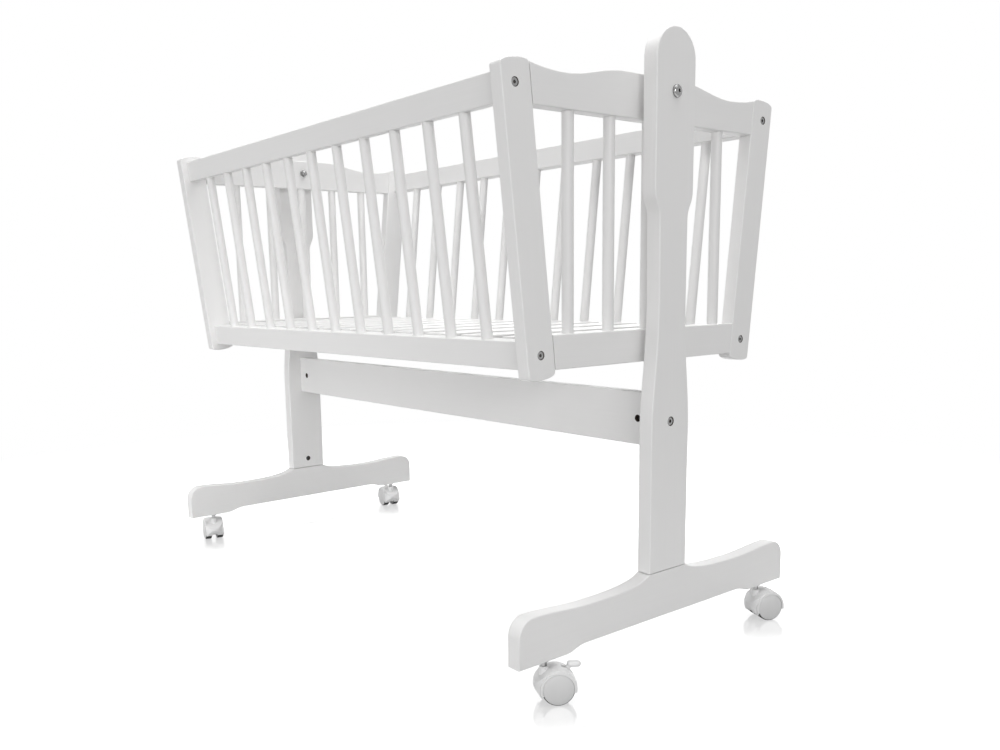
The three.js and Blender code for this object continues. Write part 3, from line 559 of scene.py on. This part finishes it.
# %% Feet and stretcher
def foot_outline():
    seat, pad, dip, radius = half + 0.001, span - 0.080, span - 0.120, 0.024
    arch_in, end_z, dip_z = pad - 0.036, under_z + 0.0625, under_z + 0.0575
    third, sweep = (0.120 - radius) / 3, dip - seat
    return outline(
        run((0, arch_z)),
        curve(14, (arch_in, arch_z), (arch_in + 0.018, arch_z), (pad - 0.012, under_z),
              (pad, under_z)),
        run((span, under_z)),
        arc((span - radius, end_z - radius), radius, 0, 90, 14),
        curve(14, (span - radius, end_z), (span - radius - third, end_z), (dip + third, dip_z),
              (dip, dip_z)),
        curve(20, (dip, dip_z), (seat + sweep * 0.43, dip_z), (seat + sweep * 0.14, dip_z + 0.003),
              (seat, seat_z)), mirror=True)


for name, end in ends.items():
    loop = foot_outline()
    seat = np.minimum(loop[:, 1], np.roll(loop[:, 1], -1)) > seat_z - 0.0002
    piece = set_down(f"shaped_foot_{name}", board(loop, board_thick, big_ease, square=seat),
        (end * upright_x, 0, 0), end_on)
    carve(piece, drill((end * upright_x, 0, arch_z), (0, 0, 1), *frame_recess))
    finished(piece, "stand", board_paint, "painted_wood", [f"foot_{name}"], ((0, 0, 0), Y, Z))

stretcher = board(rounded_section(rail_thick, stretcher_high, big_ease), 2 * (inner_x - fit),
    0.0004, 1)
piece = set_down("stretcher_board", stretcher, (0, 0, stretcher_z), end_on)
carve(piece, *[drill((end * nut_x, -rail_thick / 2, stretcher_z), (0, 1, 0), *nut_bore)
    for end in ends.values()])
finished(piece, "stand", board_paint, "painted_wood", ["stretcher"], ((0, 0, 0), X, Z))
print("stand:", len(made), "boards")

# %% [markdown]
# ## The leaning sides
#
# A side is a frame of two posts and two rails filled with eleven dowels.  It is
# drawn flat and leaned outwards as a whole by its own directions.  The posts have
# slightly crowned ends, so their outline is a set of gentle bows.

# %% Posts and side rails
bolt_spots = {"low": (0.0, 0.0), "top": (bolt_line + 0.0012, -0.0025)}  # up a post, across it


def post_outline():
    w, corner, crown, low, high = 0.022, 0.005, 0.003, -0.0305, bolt_line + 0.0285
    return outline(
        curve(8, (0, low), (w * 0.6, low), (w - corner, low + crown * 0.7)),
        curve(8, (w - corner, low + crown * 0.7), (w, low + crown), (w, low + crown + corner)),
        curve(8, (w, high - crown - corner), (w, high - crown), (w - corner, high - crown * 0.7)),
        curve(8, (w - corner, high - crown * 0.7), (w * 0.6, high), (0, high)), mirror=True)


post = board(post_outline(), panel_thick, small_ease)
rail = board(rounded_section(rail_thick, rail_high, big_ease), 2 * (inner_half - fit), 0.0003, 1)
for side_name, side in sides.items():
    ways, origin = side_frame(side)
    across, up, _ = ways
    for end_name, end in ends.items():
        name = f"{end_name}_{side_name}"
        piece = set_down(f"post_{name}", post, origin + end * panel_x * X, ways)
        face = origin + end * panel_face * X
        carve(piece, *[drill(face + at * up + off * across, (-end, 0, 0), *post_recess)
            for at, off in bolt_spots.values()])
        finished(piece, "cradle", board_paint, "painted_wood", [f"corner_post_{name}"],
            (origin, up, across))
    for level, at in (("top", bolt_line), ("bottom", 0)):
        piece = set_down(f"rail_{level}_{side_name}", rail, origin - rail_out * across + at * up,
            ways)
        finished(piece, "cradle", board_paint, "painted_wood", [f"side_{level}_rail_{side_name}"],
            (origin, X, up))
print("leaning sides:", len(made), "pieces so far")

# %% [markdown]
# ## End panels
#
# The head rail carries the pivot.  Its top edge is level over the pivot, dips on
# both sides and rises again to the posts.  Both end rails are cut at the lean of
# the posts and butt tightly against them, so those ends are left square.

# %% Head rails and end rails
def butt_half(z):
    """Half the length of an end rail at height z, where it butts against the posts."""
    return lean_half(post_inside, z)


def head_outline():
    low = pivot_z - 0.031
    valley, hill, end_z = low + 0.0415, low + 0.0555, low + 0.047
    end_y, dip, crown, reach = butt_half(end_z), 0.160, 0.050, 0.110
    return outline(
        run((0, low), (butt_half(low), low)),
        curve(10, (end_y, end_z), ((end_y + dip) / 2, valley), (dip, valley)),
        curve(18, (dip, valley), (dip - reach * 0.37, valley), (crown + reach * 0.42, hill),
              (crown, hill)),
        run((0, hill)), mirror=True)


def end_outline():
    low = low_z - 0.011 * sin_lean - rail_high / 2 * cos_lean
    high = low + 0.043
    return outline(
        run((0, low), (butt_half(low), low), (butt_half(high), high), (0, high)), mirror=True)


def butt_edges(loop):
    """True for each steep edge that lies far out: the ends that meet the posts."""
    step = np.roll(loop, -1, 0) - loop
    return (np.abs(step[:, 1]) > 3 * np.abs(step[:, 0])) & (np.abs(loop[:, 0]) > 0.15)


for name, end in ends.items():
    for kind, loop, node in (("head_rail", head_outline(), "head_rail"),
            ("end_rail", end_outline(), "end_rail_with_dowels")):
        shape = board(loop, panel_thick, small_ease, square=butt_edges(loop))
        piece = set_down(f"shaped_{kind}_{name}", shape, (end * panel_x, 0, 0), end_on)
        finished(piece, "cradle", board_paint, "painted_wood", [f"{node}_{name}"],
            ((0, 0, 0), Y, Z))
print("end panels:", len(made), "pieces so far")

# %% [markdown]
# ## Dowels
#
# Thirty-two dowels fill the panels.  A dowel is the simplest turned piece: the
# same radius from end to end, with its ends out of sight in drilled sockets.

# %% Dowels
def dowel(name, low, high, node):
    """A rod of 15 mm between two points, its grain running along it."""
    length = np.linalg.norm(high - low)
    direction = (high - low) / length
    cross = np.cross(direction, X)
    piece = set_down(name, turned([(rod, 0), (rod, length)], 32), low, facing(direction, X))
    finished(piece, "cradle", dowel_paint, "painted_wood", [node],
        (low, direction, cross / np.linalg.norm(cross)))


for side_name, side in sides.items():
    (across, up, _), origin = side_frame(side)
    for i in range(11):
        foot = origin - rail_out * across + (inner_half - (i + 1) * 2 * inner_half / 12) * X
        name = f"{side_name}_{i + 1:02d}"
        dowel(f"side_rod_{name}", foot + rod_in * up, foot + (bolt_line - rod_in) * up,
            f"side_dowel_{name}")
for name, end in ends.items():
    for i in range(5):
        low, high = (np.array([end * panel_x, (i - 2) * end_pitch, z]) for z in end_rod)
        dowel(f"end_rod_{name}_{i + 1}", low, high, f"end_rail_with_dowels_{name}")
print("dowels done:", len(made), "pieces so far")

# %% [markdown]
# ## The slatted base
#
# Eleven slats lie across two ledgers.  Each is a planed board with lightly eased
# edges, held by a countersunk screw at both ends.

# %% Slats, ledgers and their screws
slat_wide, slat_thick, screw_in = 0.055, 0.010, 0.009
slat_top = low_z + 0.007 * sin_lean + rail_high / 2 * cos_lean + 0.002
slat_low = slat_top - slat_thick
slat_half = lean_half(rail_inside, slat_low)
slat = board(rounded_section(slat_wide, slat_thick, 0.0015), 2 * slat_half, 0.0008, 2)
spread = inner_half - 0.004 - slat_wide / 2
screws = []
for i in range(11):
    x = spread - i * 2 * spread / 10
    piece = set_down(f"slat_{i + 1:02d}", slat, (x, 0, (slat_top + slat_low) / 2), (X, Z, -Y))
    for side in (1, -1):
        screws.append((x, side * (slat_half - screw_in), slat_top))
        carve(piece, drill(screws[-1], (0, 0, -1), 0.0034, 0.0007, 20))
    finished(piece, "cradle", slat_paint, "slat_paint", ["slatted_base"], ((x, 0, 0), Y, X))

foot, under = slat_low - 0.020, slat_low - 0.0001
wall = lean_half(rail_inside, foot)
back = wall - 0.016
loop = run((back, foot), (wall, foot), (lean_half(rail_inside, under), under), (back, under))
ledger = board(loop, 2 * (inner_half - fit), 0.001, 2)
for name, side in sides.items():
    piece = set_down(f"ledger_{name}", ledger, ways=(side * Y, Z, side * X))
    finished(piece, "cradle", slat_paint, "slat_paint", ["slatted_base"], ((0, 0, 0), X, Y))

# A flat head with a cross recess: out along the cone, in over the flat, down the cross.
wide, sink = 0.0031, 0.0012
head, faces = turned([(0, -sink * 1.6), (wide * 0.5, -sink * 1.2), (wide, -0.0002),
    (wide * 0.96, 0), (wide * 0.62, 0, "cross"), (wide * 0.25, -sink, "cross"), (0, -sink)], 32)
spots = np.array(screws) - [0, 0, 0.0005]
corners = (head[None] + spots[:, None]).reshape(-1, 3)
all_faces = [[v + k * len(head) for v in face] for k in range(len(spots)) for face in faces]
finished(set_down("slat_screws", (corners, all_faces)), "cradle", bright_zinc, "steel")
print("slats and screws:", len(spots), "screws")

# %% [markdown]
# ## Bolts and nuts
#
# The frame is knocked together with socket bolts and barrel nuts.  A head is a
# turned profile that runs in over the top, drops down a six-sided socket and
# closes at its bottom.  One function makes them all, from a row of sizes for each.

# %% Bolt heads and barrel nuts
# Each kind: the head's radius, height, socket size and socket depth; its finish, which
# for a barrel nut deep in its bore is a darker plate standing for the shade there; the
# radius and the height within which a face lies in the socket; and the dark finish in
# there, which paints the shade down the socket.
kinds = {
    "frame_bolt": ((0.0053, 0.0018, 0.0022, 0.0026), dull_zinc, 0.0029, 0.0016, socket_shade),
    "barrel_nut": ((0.0045, 0.0055, 0.0014, 0.001), shade_plate, 0.0018, 0.0053, socket_shade),
    "corner_bolt": ((0.0050, 0.0019, 0.0020, 0.0018), dull_zinc, 0.0026, 0.0017, shade_plate),
}


def socket_head(radius, height, hex_flat, depth):
    """A round head of that height with an eased rim, and a hexagon socket hex_flat from
    its middle to a flat."""
    ease = min(0.0006, height / 3)
    return turned([(0, -0.001), (radius, -0.001),
        *arc((radius - ease, height - ease), ease, 0, 90, 4), (hex_flat * 1.25, height),
        (hex_flat, height - 0.0003, "hex"), (hex_flat, height - depth, "hex"),
        (0, height - depth - 0.0006)])


def fastener(name, kind, spot, out, body):
    """Sets a head on its spot, facing out, and paints the shade inside its socket."""
    head, finish, socket, lip, inside = kinds[kind]
    out = np.array(out, float)
    thing = set_down(name, socket_head(*head), spot, facing(out, Z if abs(out[2]) < 0.5 else X))
    finished(thing, body, finish, "steel")
    picked(thing, spot, out, lambda away, high: (away < socket) & (high < lip), inside)


def picked(thing, spot, out, where, finish):
    """Gives another finish to the faces that where(distance from the axis, height) picks."""
    mesh = thing.data
    centres = np.zeros(len(mesh.polygons) * 3, np.float32)
    mesh.polygons.foreach_get("center", centres)
    from_spot = centres.reshape(-1, 3) - spot
    high = from_spot @ out
    away = np.linalg.norm(from_spot - high[:, None] * out, axis=1)
    mesh.materials.append(finish)
    mesh.polygons.foreach_set("material_index", where(away, high).astype(np.int32))


for name, end in ends.items():
    places = {
        "stretcher_bolt": ("frame_bolt", (end * (outer_x - seated), 0, stretcher_z), (end, 0, 0)),
        "foot_bolt": ("frame_bolt", (end * upright_x, 0, arch_z + seated), (0, 0, -1)),
        "upright_barrel_nut": ("barrel_nut", (end * (inner_x + nut_sunk), 0, nut_z), (-end, 0, 0)),
        "stretcher_barrel_nut": ("barrel_nut", (end * nut_x, nut_y, stretcher_z), (0, -1, 0)),
    }
    for thing, place in places.items():
        fastener(f"{thing}_{name}", *place, "stand")
    for side_name, side in sides.items():
        (across, up, _), origin = side_frame(side)
        face = origin + end * (panel_face - seated) * X
        for level, (at, off) in bolt_spots.items():
            fastener(f"corner_bolt_{name}_{side_name}_{level}", "corner_bolt",
                face + at * up + off * across, (end, 0, 0), "cradle")
print("bolts and nuts:", len(made), "pieces so far")

# %% [markdown]
# ## Pivots
#
# The basket hangs on two polished bolts with domed heads.  A nylon spacer holds
# it off the upright, and a domed cap nut closes the bolt inside the basket.

# %% Pivot bolts, spacers and cap nuts
def dome(radius, base, rise, first, last, points=9):
    """Part of an ellipse on a turned profile: radius cos(v) out, base + rise sin(v) high."""
    return [(radius * cos(v), base + rise * sin(v)) for v in np.linspace(first, last, points)]


pivot_bolt = turned([(0, -0.0632), (0.0034, -0.0632), (0.004, -0.0626), (0.004, 0), (0.008, 0),
    *dome(0.008, 0.001, 0.004, 0, 1.15), (0.0024, 0.0048), (0.0020, 0.0045, "hex"),
    (0.0020, 0.0022, "hex"), (0, 0.0016)], 64)
low, high = inner_x - 0.014 + fit, inner_x - fit
spacer = turned([(0.0044, low), *arc((0.011, low + 0.001), 0.001, -90, 0, 4),
    *arc((0.011, high - 0.001), 0.001, 0, 90, 4), (0.0044, high)], 64, hole=True)
cap_nut = turned([(0, 0.0005), (0.0052, 0), (0.0060, 0.0003, "hex"), (0.0060, 0.0044, "hex"),
    (0.0057, 0.005), *dome(0.0057, 0.005, 0.006, 0.05, 1.5), (0, 0.011)], 60)
for name, end in ends.items():
    out, spot = np.array([end, 0, 0.0]), (end * (outer_x + fit), 0, pivot_z)
    fine = set_down(f"pivot_bolt_fine_{name}", pivot_bolt, spot, facing(out, Y))
    finished(fine, "stand", bright_zinc, "steel", [f"pivot_bolt_{name}"])
    # The socket and the shank under the head get the black of painted shade.
    picked(fine, spot, out, lambda away,
        high: ((away < 0.0026) & (high > 0) & (high < 0.0046)) | (high < 0.0005), socket_shade)
    fine = set_down(f"spacer_fine_{name}", spacer, (0, 0, pivot_z), facing(out, Y))
    finished(fine, "stand", nylon, "nylon", [f"pivot_spacer_{name}"])
    fine = set_down(f"cap_nut_fine_{name}", cap_nut, (end * (inner_half - fit), 0, pivot_z),
        facing(-out, Y))
    finished(fine, "stand", bright_zinc, "steel", [f"pivot_cap_nut_{name}"])
print("fasteners done:", len(made), "pieces so far")

# %% [markdown]
# ## Castors
#
# A twin-wheel castor has two domed discs on one axle under a moulded housing.
# The housing is a barrel about the axle, a nose that slopes down in front of it and
# a round boss for the stem.  The three are joined, melted together with a voxel
# remesh so that every inner corner is rounded as in a mould, and then the rooms
# for the discs are cut, which leaves their edges crisp.  Each room is narrower at
# the open side, so that a thin lip hides the tyre.  All of it is made with the stem
# on the z axis and trailing along x, then turned to its own heading about the stem.

# %% Castor shapes
trail, axle_z = 0.0155, 0.021 * cos(pi / 24)
room, hood_edge, hood_crown, web, hood_half = 0.0213, 0.0232, 0.0250, 0.005, 0.0175
nose, boss_top, lip, lip_reach, rim = 0.0134, 0.0465, 0.0011, 0.0198, 0.0226
room_end, step_in, beyond, chin_z = hood_half + 0.0002, 0.0166, 0.040, axle_z - 0.011


def spoke(radius, angle):
    """A place by its distance from the axle and its angle above the trailing side."""
    a = radians(angle)
    return trail + radius * cos(a), axle_z + radius * sin(a)


def on_axle(name, shape, side=1):
    """A turned shape laid along the axle, outwards on one side."""
    return set_down(name, shape, (trail, 0, axle_z), (X, Z, side * Y))


def side_view(loop, width, ease=0.0, steps=1):
    """A side view drawn in x and z, carried across the castor."""
    return set_down("side_view", board(loop, width, ease, steps), ways=(X, Z, -Y))


def hood_barrel():
    """The hood, a barrel about the axle: radius edge + (crown - edge)(1 - (y / reach)^2),
    cut to its arc, and a plain drum of the rim's radius behind the nose."""
    reach = hood_half + lip
    y = np.linspace(-reach, reach, 29)
    radius = hood_edge + (hood_crown - hood_edge) * (1 - (y / reach) ** 2)
    barrel = on_axle("barrel", turned([(0, -reach), *zip(radius, y), (0, reach)], 160))
    kept = outline(run(spoke(room, -12), spoke(0.05, -12), spoke(0.075, 60),
                       spoke(0.05, 140)),
                   curve(20, spoke(room, 140), (trail, axle_z - 0.008), spoke(room, -12)))
    carve(barrel, side_view(kept, 0.07), how="INTERSECT")
    drum = on_axle("drum", turned([(0, -reach), (rim, -reach), (rim, reach), (0, reach)], 160))
    front = run(spoke(0.004, 168), spoke(0.04, 120), spoke(0.05, 165), spoke(0.04, 206))
    carve(drum, side_view(front, 0.07), how="INTERSECT")
    return carve(barrel, drum, how="UNION")


def hood_nose():
    """The nose: a side view sloping down to a round tip and back to the chin, of which
    only what stands on half an oval is kept."""
    side = outline(
        curve(20, (trail / 2, axle_z + room - 0.001), (0, axle_z + room - 0.0023),
              (-nose * 0.72, axle_z + 0.0125), (-nose, axle_z + 0.005)),
        curve(8, (-nose, axle_z + 0.005), (-nose - 0.0006, axle_z + 0.0015),
            (0.001 - nose, axle_z - 0.0015)),
        run((trail - 0.0208, chin_z), (0.002, chin_z + 0.001), (trail / 2, axle_z)))[::-1]
    a = np.radians(np.linspace(90, 270, 41))
    oval = np.stack([nose * np.cos(a), hood_half * np.sin(a)], 1)
    plan = board(outline(run((trail, -hood_half), (trail, hood_half)), oval), 0.060, 0.0, 1)
    return carve(side_view(side, 2 * hood_half, 0.0022, 4), set_down("plan", plan, (0, 0, 0.03)),
        how="INTERSECT")


def melted(thing, size, rounds):
    """Rebuilds a piece from small cubes and smooths it, as a mould rounds every inner corner."""
    cubes = thing.modifiers.new("cubes", "REMESH")
    cubes.mode, cubes.voxel_size = "VOXEL", size
    smooth = thing.modifiers.new("smooth", "SMOOTH")
    smooth.factor, smooth.iterations = 0.5, rounds
    return applied(thing)


def housing(brake):
    """The mesh of a housing.  After the melt the boss gets its crisp edge back, and the
    cutters follow: rooms, steps behind their rims, an arch in front, and the stem's hole."""
    boss = turned([(0.0, axle_z), (0.00575, axle_z),
        *arc((0.00515, boss_top - 0.0006), 0.0006, 0, 90, 4), (0.0, boss_top)], 64)
    thing = carve(hood_barrel(), hood_nose(), set_down("boss", boss), how="UNION")
    carve(melted(thing, 0.00045, 5), set_down("boss", boss), how="UNION")
    hole = turned([(room, web), (room, room_end), (lip_reach, room_end), (lip_reach, beyond)], 120)
    step = turned([(rim, step_in), (0.035, step_in), (0.035, beyond), (rim, beyond)], 120, True)
    rooms = [on_axle("cutter", shape, side) for side in (1, -1) for shape in (hole, step)]
    front = set_down("arch", turned([(0.0055, -0.055), (0.0055, 0.0)], 32), (0, 0, chin_z), end_on)
    carve(thing, *rooms, front, drill((0, 0, boss_top), (0, 0, -1), 0.00408, 0.026, 40))
    if brake:
        clear, back, roof = 0.0039, pin[0] + 0.020, pin[1] + hood_crown
        slot = outline(run((pin[0] - clear, roof)), arc(pin, clear, 180, 315, 14),
            run((back, pin[1] + 0.002), (back, roof)))
        carve(thing, side_view(slot, 0.0075))
    mesh = thing.data
    bpy.data.objects.remove(thing)
    return mesh


pin = np.array(spoke(0.013, 42))
moulds = {brake: housing(brake) for brake in (True, False)}
print("housings:", [len(mesh.polygons) for mesh in moulds.values()], "faces")

# %% [markdown]
# The discs are plain, as on a cheap castor: a shallow pale dome, a near-black tyre
# with round shoulders, and a flat inner face with a hub round the axle.  The tyre is
# part of the same turned surface and only has another finish, whose black also paints
# the deep shade where the wheel meets the floor.

# %% Discs, stems and brake levers
def disc_pair():
    """Two discs and their axle as one turned profile, from one dome's pole to the other's."""
    inner, outer, r, rise = 0.0055, 0.0175, axle_z, 0.003
    half_pair = [(0.003, inner + 0.0012), (0.0075, inner + 0.0012), (0.0082, inner + 0.0026),
        (0.0182, inner + 0.0026), (0.0192, inner),
        *arc((r - 0.0012, inner + 0.0012), 0.0012, -80, 0, 4),
        *arc((r - 0.0016, outer - 0.0016), 0.0016, 0, 60, 4),
        *dome(r - 0.0012, outer, rise, 0, pi / 2 - 0.04, 24), (0, outer + rise)]
    return turned([(d, -h) for d, h in reversed(half_pair)] + half_pair, 120)


low, under, high = boss_top - 0.0257, under_z - fit, under_z + 0.030
castor_stem = turned([(0, low), (0.003, low), (0.004, low + 0.001), (0.004, under - 0.002),
    (0.0066, under - 0.002), (0.007, under - 0.0016), (0.007, under - 0.0004), (0.0066, under),
    (0.004, under), (0.004, high - 0.001), (0.003, high), (0, high)])


def brake_lever():
    """A flat paddle with round corners, drawn in plan, on an arm drawn from the side."""
    x, z = pin
    tip, heel, high, t, r, w = x + 0.0215, x + 0.004, z + 0.0205, 0.0025, 0.0052, 0.006
    under = high - 0.0035
    arm = outline(arc(pin, t, 180, 360),
                  curve(12, (x + t, z), (x + t, z + 0.0082), (heel + 0.0085, under)),
                  curve(12, (heel + 0.0008, under), (x - t, z + 0.0092), (x - t, z)))
    corners = [((tip - r, -w + r), -90), ((tip - r, w - r), 0), ((heel + r, w - r), 90),
        ((heel + r, -w + r), 180)]
    paddle = outline(*[arc(c, r, a, a + 90, 10) for c, a in corners])
    plate = set_down("lever", board(paddle, 0.0070, 0.0033, 6), (0, 0, high - 0.003))
    return carve(plate, side_view(arm, 0.0063, 0.0008, 3), how="UNION")


def stand_castor(thing, end, side, heading):
    """Turns a castor piece about its stem by the heading, and stands it under its foot."""
    thing.data.transform(Matrix.Translation((end * upright_x, side * stem_y, 0))
        @ Matrix.Rotation(radians(heading), 4, "Z"))
    return thing


castors = {"near_left": (1, -1, 57), "near_right": (1, 1, 67),
           "far_left": (-1, -1, 165), "far_right": (-1, 1, 168)}
for name, (end, side, heading) in castors.items():
    castor, brake = (end, side, heading), name in ("near_left", "far_right")
    hood = stand_castor(put(f"castor_hood_{name}", moulds[brake].copy()), *castor)
    finished(hood, f"castor_{name}", hood_plastic, "hood_plastic", [f"castor_housing_{name}"],
        crease=30)
    discs = stand_castor(on_axle(f"castor_discs_{name}", disc_pair()), *castor)
    finished(discs, f"wheels_{name}", wheel_plastic, "wheel_plastic", [f"castor_wheels_{name}"],
        crease=30)
    a = radians(heading)
    ahead = np.array([cos(a), sin(a), 0])
    # The discs' rim takes the tyre's black: a tyre, and painted shade where it meets the floor.
    picked(discs, np.array([end * upright_x, side * stem_y, axle_z]) + trail * ahead,
        np.cross(Z, ahead), lambda away, high: away > 0.0197, tyre_and_shade)
    stem = stand_castor(set_down(f"castor_pin_{name}", castor_stem), *castor)
    finished(stem, "stand", bright_zinc, "steel", [f"castor_stem_{name}"])
    if brake:
        lever = stand_castor(brake_lever(), *castor)
        lever.name = f"lever_{name}"
        finished(lever, f"lever_{name}", hood_plastic, "hood_plastic", [f"brake_lever_{name}"])
print("castors done:", len(made), "pieces in all")

# %% [markdown]
# ## Floor and light
#
# The cradle stands in a white studio.  The floor is a plain matt sheet that keeps
# the soft shadow.  To the camera alone it is lifted to paper white, which costs
# the boards none of their shading, because no more light falls on them.  Round each
# castor it turns mostly to glowing paper, painted light that clears the contact
# shadow there, and a thin gloss gives the faint mirror image under the castors.

# %% The floor
def seen(tree):
    """1 for a ray that shows a thing itself: straight, in a gloss or through glass."""
    path = tree.nodes.new("ShaderNodeLightPath")
    straight, gloss, through = (Amount(tree, path.outputs[f"Is {kind} Ray"])
        for kind in ("Camera", "Glossy", "Transmission"))
    return straight + gloss + through


def studio_floor(half_size=30):
    corners = [(x * half_size, y * half_size, 0) for x, y in ((-1, -1), (1, -1), (1, 1), (-1, 1))]
    sheet = Finish("studio_sheet", grey(0.62), 0.9)
    floor = set_down("studio_floor", (np.array(corners, float), [(0, 1, 2, 3)]),
        material=sheet.material)
    where = sheet.node("ShaderNodeTexCoord", out="Object")

    def share(value, low, high):
        return sheet.amount("ShaderNodeMapRange", {"interpolation_type": "SMOOTHSTEP"}, Value=value,
            From_Min=low, From_Max=high)

    def away(spot):
        centred = sheet.node("ShaderNodeMapping", Vector=where, Location=tuple(-v for v in spot))
        return sheet.amount("ShaderNodeVectorMath", {"operation": "LENGTH"}, out="Value",
            Vector=centred)

    def mixed(factor, first, second):
        mix = sheet.tree.nodes.new("ShaderNodeMixShader")
        for place, value in zip(mix.inputs, (factor, first, second)):
            plug(sheet.tree, place, value)
        return mix.outputs[0]

    # Painted light: round each castor the floor glows paper white over the contact shadow.
    near = 0.0
    for end, side, _ in castors.values():
        near = (1 - share(away((end * upright_x, side * stem_y, 0)), 0.050, 0.170)) + near
    bright = sheet.node("ShaderNodeBsdfDiffuse", Color=(2.05, 2.05, 2.05, 1))
    polish = sheet.node("ShaderNodeBsdfAnisotropic", Color=(1, 1, 1, 1), Roughness=0.07)
    paper = sheet.node("ShaderNodeEmission", Color=(1, 1, 1, 1), Strength=1.0)
    lifted = mixed(0.34 * near, mixed(0.85 * near, bright, paper), polish)
    faded = mixed(share(away((0, 0, 0)), 0.75, 1.9), lifted, paper)
    shown = mixed(seen(sheet.tree), sheet.shader.outputs[0], faded)
    sheet.tree.links.new(shown, sheet.tree.nodes["Material Output"].inputs["Surface"])
    return floor


print("floor:", studio_floor().name)

# %% [markdown]
# Photographers light white things with large soft sources, and give each side its
# own amount, so that each plane reads as its own grey.  Here the world gives the
# plain level, and each lamp adds to what it is named for.  The small high one gives
# the bolts their highlight.

# %% Lamps and world
def softbox(name, spot, aim, size, power, spread=pi):
    """An area lamp; a spread below half a turn is a honeycomb grid that narrows its beam."""
    lamp = bpy.data.lights.new(name, "AREA")
    lamp.shape, lamp.size, lamp.size_y, lamp.energy = "RECTANGLE", size[0], size[1], power
    lamp.spread = spread
    box = put(name, lamp)
    box.location = spot
    box.rotation_euler = (Vector(aim) - Vector(spot)).to_track_quat("-Z", "Y").to_euler()
    box.visible_camera = False


# Each softbox: its place, what it is aimed at, its size, its power and perhaps its spread.
softboxes = {
    "overhead": ((0.0, 0.0, 3.2), (0, 0, 0.4), (3.0, 3.0), 75),
    "front_wall": ((5.6, -2.9, 1.8), (0, 0, 0.6), (3.0, 0.9), 93),
    "front_low": ((5.6, -2.9, 0.5), (0, 0, 0.4), (3.0, 0.9), 12),
    "front_high": ((2.37, 0.38, 3.03), (0.5, 0, 0.745), (1.3, 1.3), 6.5),
    "long_side": ((-0.2, -3.0, 0.45), (0, 0, 0.3), (3.0, 0.7), 17),
    "far_stand": ((1.1, -2.4, 0.4), (-0.5, 0, 0.2), (0.9, 0.6), 0.66, 0.55),
    "back_wall": ((-3.8, 4.4, 1.0), (0, 0, 0.5), (3.0, 1.5), 40),
}
for name, lamp in softboxes.items():
    softbox(name, *lamp)

world = bpy.data.worlds.new("studio_world")
bpy.context.scene.world = world
world.use_nodes = True
sky = world.node_tree
sky.nodes.clear()
background = sky.nodes.new("ShaderNodeBackground")
background.inputs["Color"].default_value = (1, 1, 1, 1)
plug(sky, background.inputs["Strength"], 0.31 + 0.69 * seen(sky))
result = sky.nodes.new("ShaderNodeOutputWorld")
sky.links.new(background.outputs[0], result.inputs["Surface"])
print("lamps:", ", ".join(softboxes))

# %% [markdown]
# The camera stands where the photographer's did: about half a metre up, looking
# down nine degrees past the near left corner.

# %% Camera
# Angles in radians, the place in metres, and the lens in pixels of the photo.
yaw, pitch, roll = -0.9086, -0.1653, -0.0199
photographer = (1.28577, -0.96146, 0.51043)
wide, high, focal, middle_x, middle_y, sensor = 1000, 750, 921.98, 459.01, 439.96, 36.0
ahead = Vector((sin(yaw) * cos(pitch), cos(yaw) * cos(pitch), sin(pitch)))
right = Vector((cos(yaw), -sin(yaw), 0))
above = right.cross(ahead)
side_way = right * cos(roll) + above * sin(roll)
up_way = above * cos(roll) - right * sin(roll)
lens = bpy.data.cameras.new("photo_camera")
lens.sensor_width, lens.lens = sensor, sensor * focal / wide
lens.shift_x, lens.shift_y = (wide / 2 - middle_x) / wide, (middle_y - high / 2) / wide
lens.clip_start, lens.clip_end = 0.05, 100
camera = put("photo_camera", lens)
turn = Matrix((side_way, up_way, -ahead)).transposed().to_4x4()
camera.matrix_world = Matrix.Translation(photographer) @ turn
bpy.context.scene.camera = camera
bpy.context.scene.view_settings.view_transform = "Standard"
print("camera:", round(lens.lens, 2), "mm lens")

# %% [markdown]
# ## Last of all
#
# Last, the scene is brought up to date.  Dressing adds finish and never size.

# %% Update the scene
bpy.context.view_layer.update()
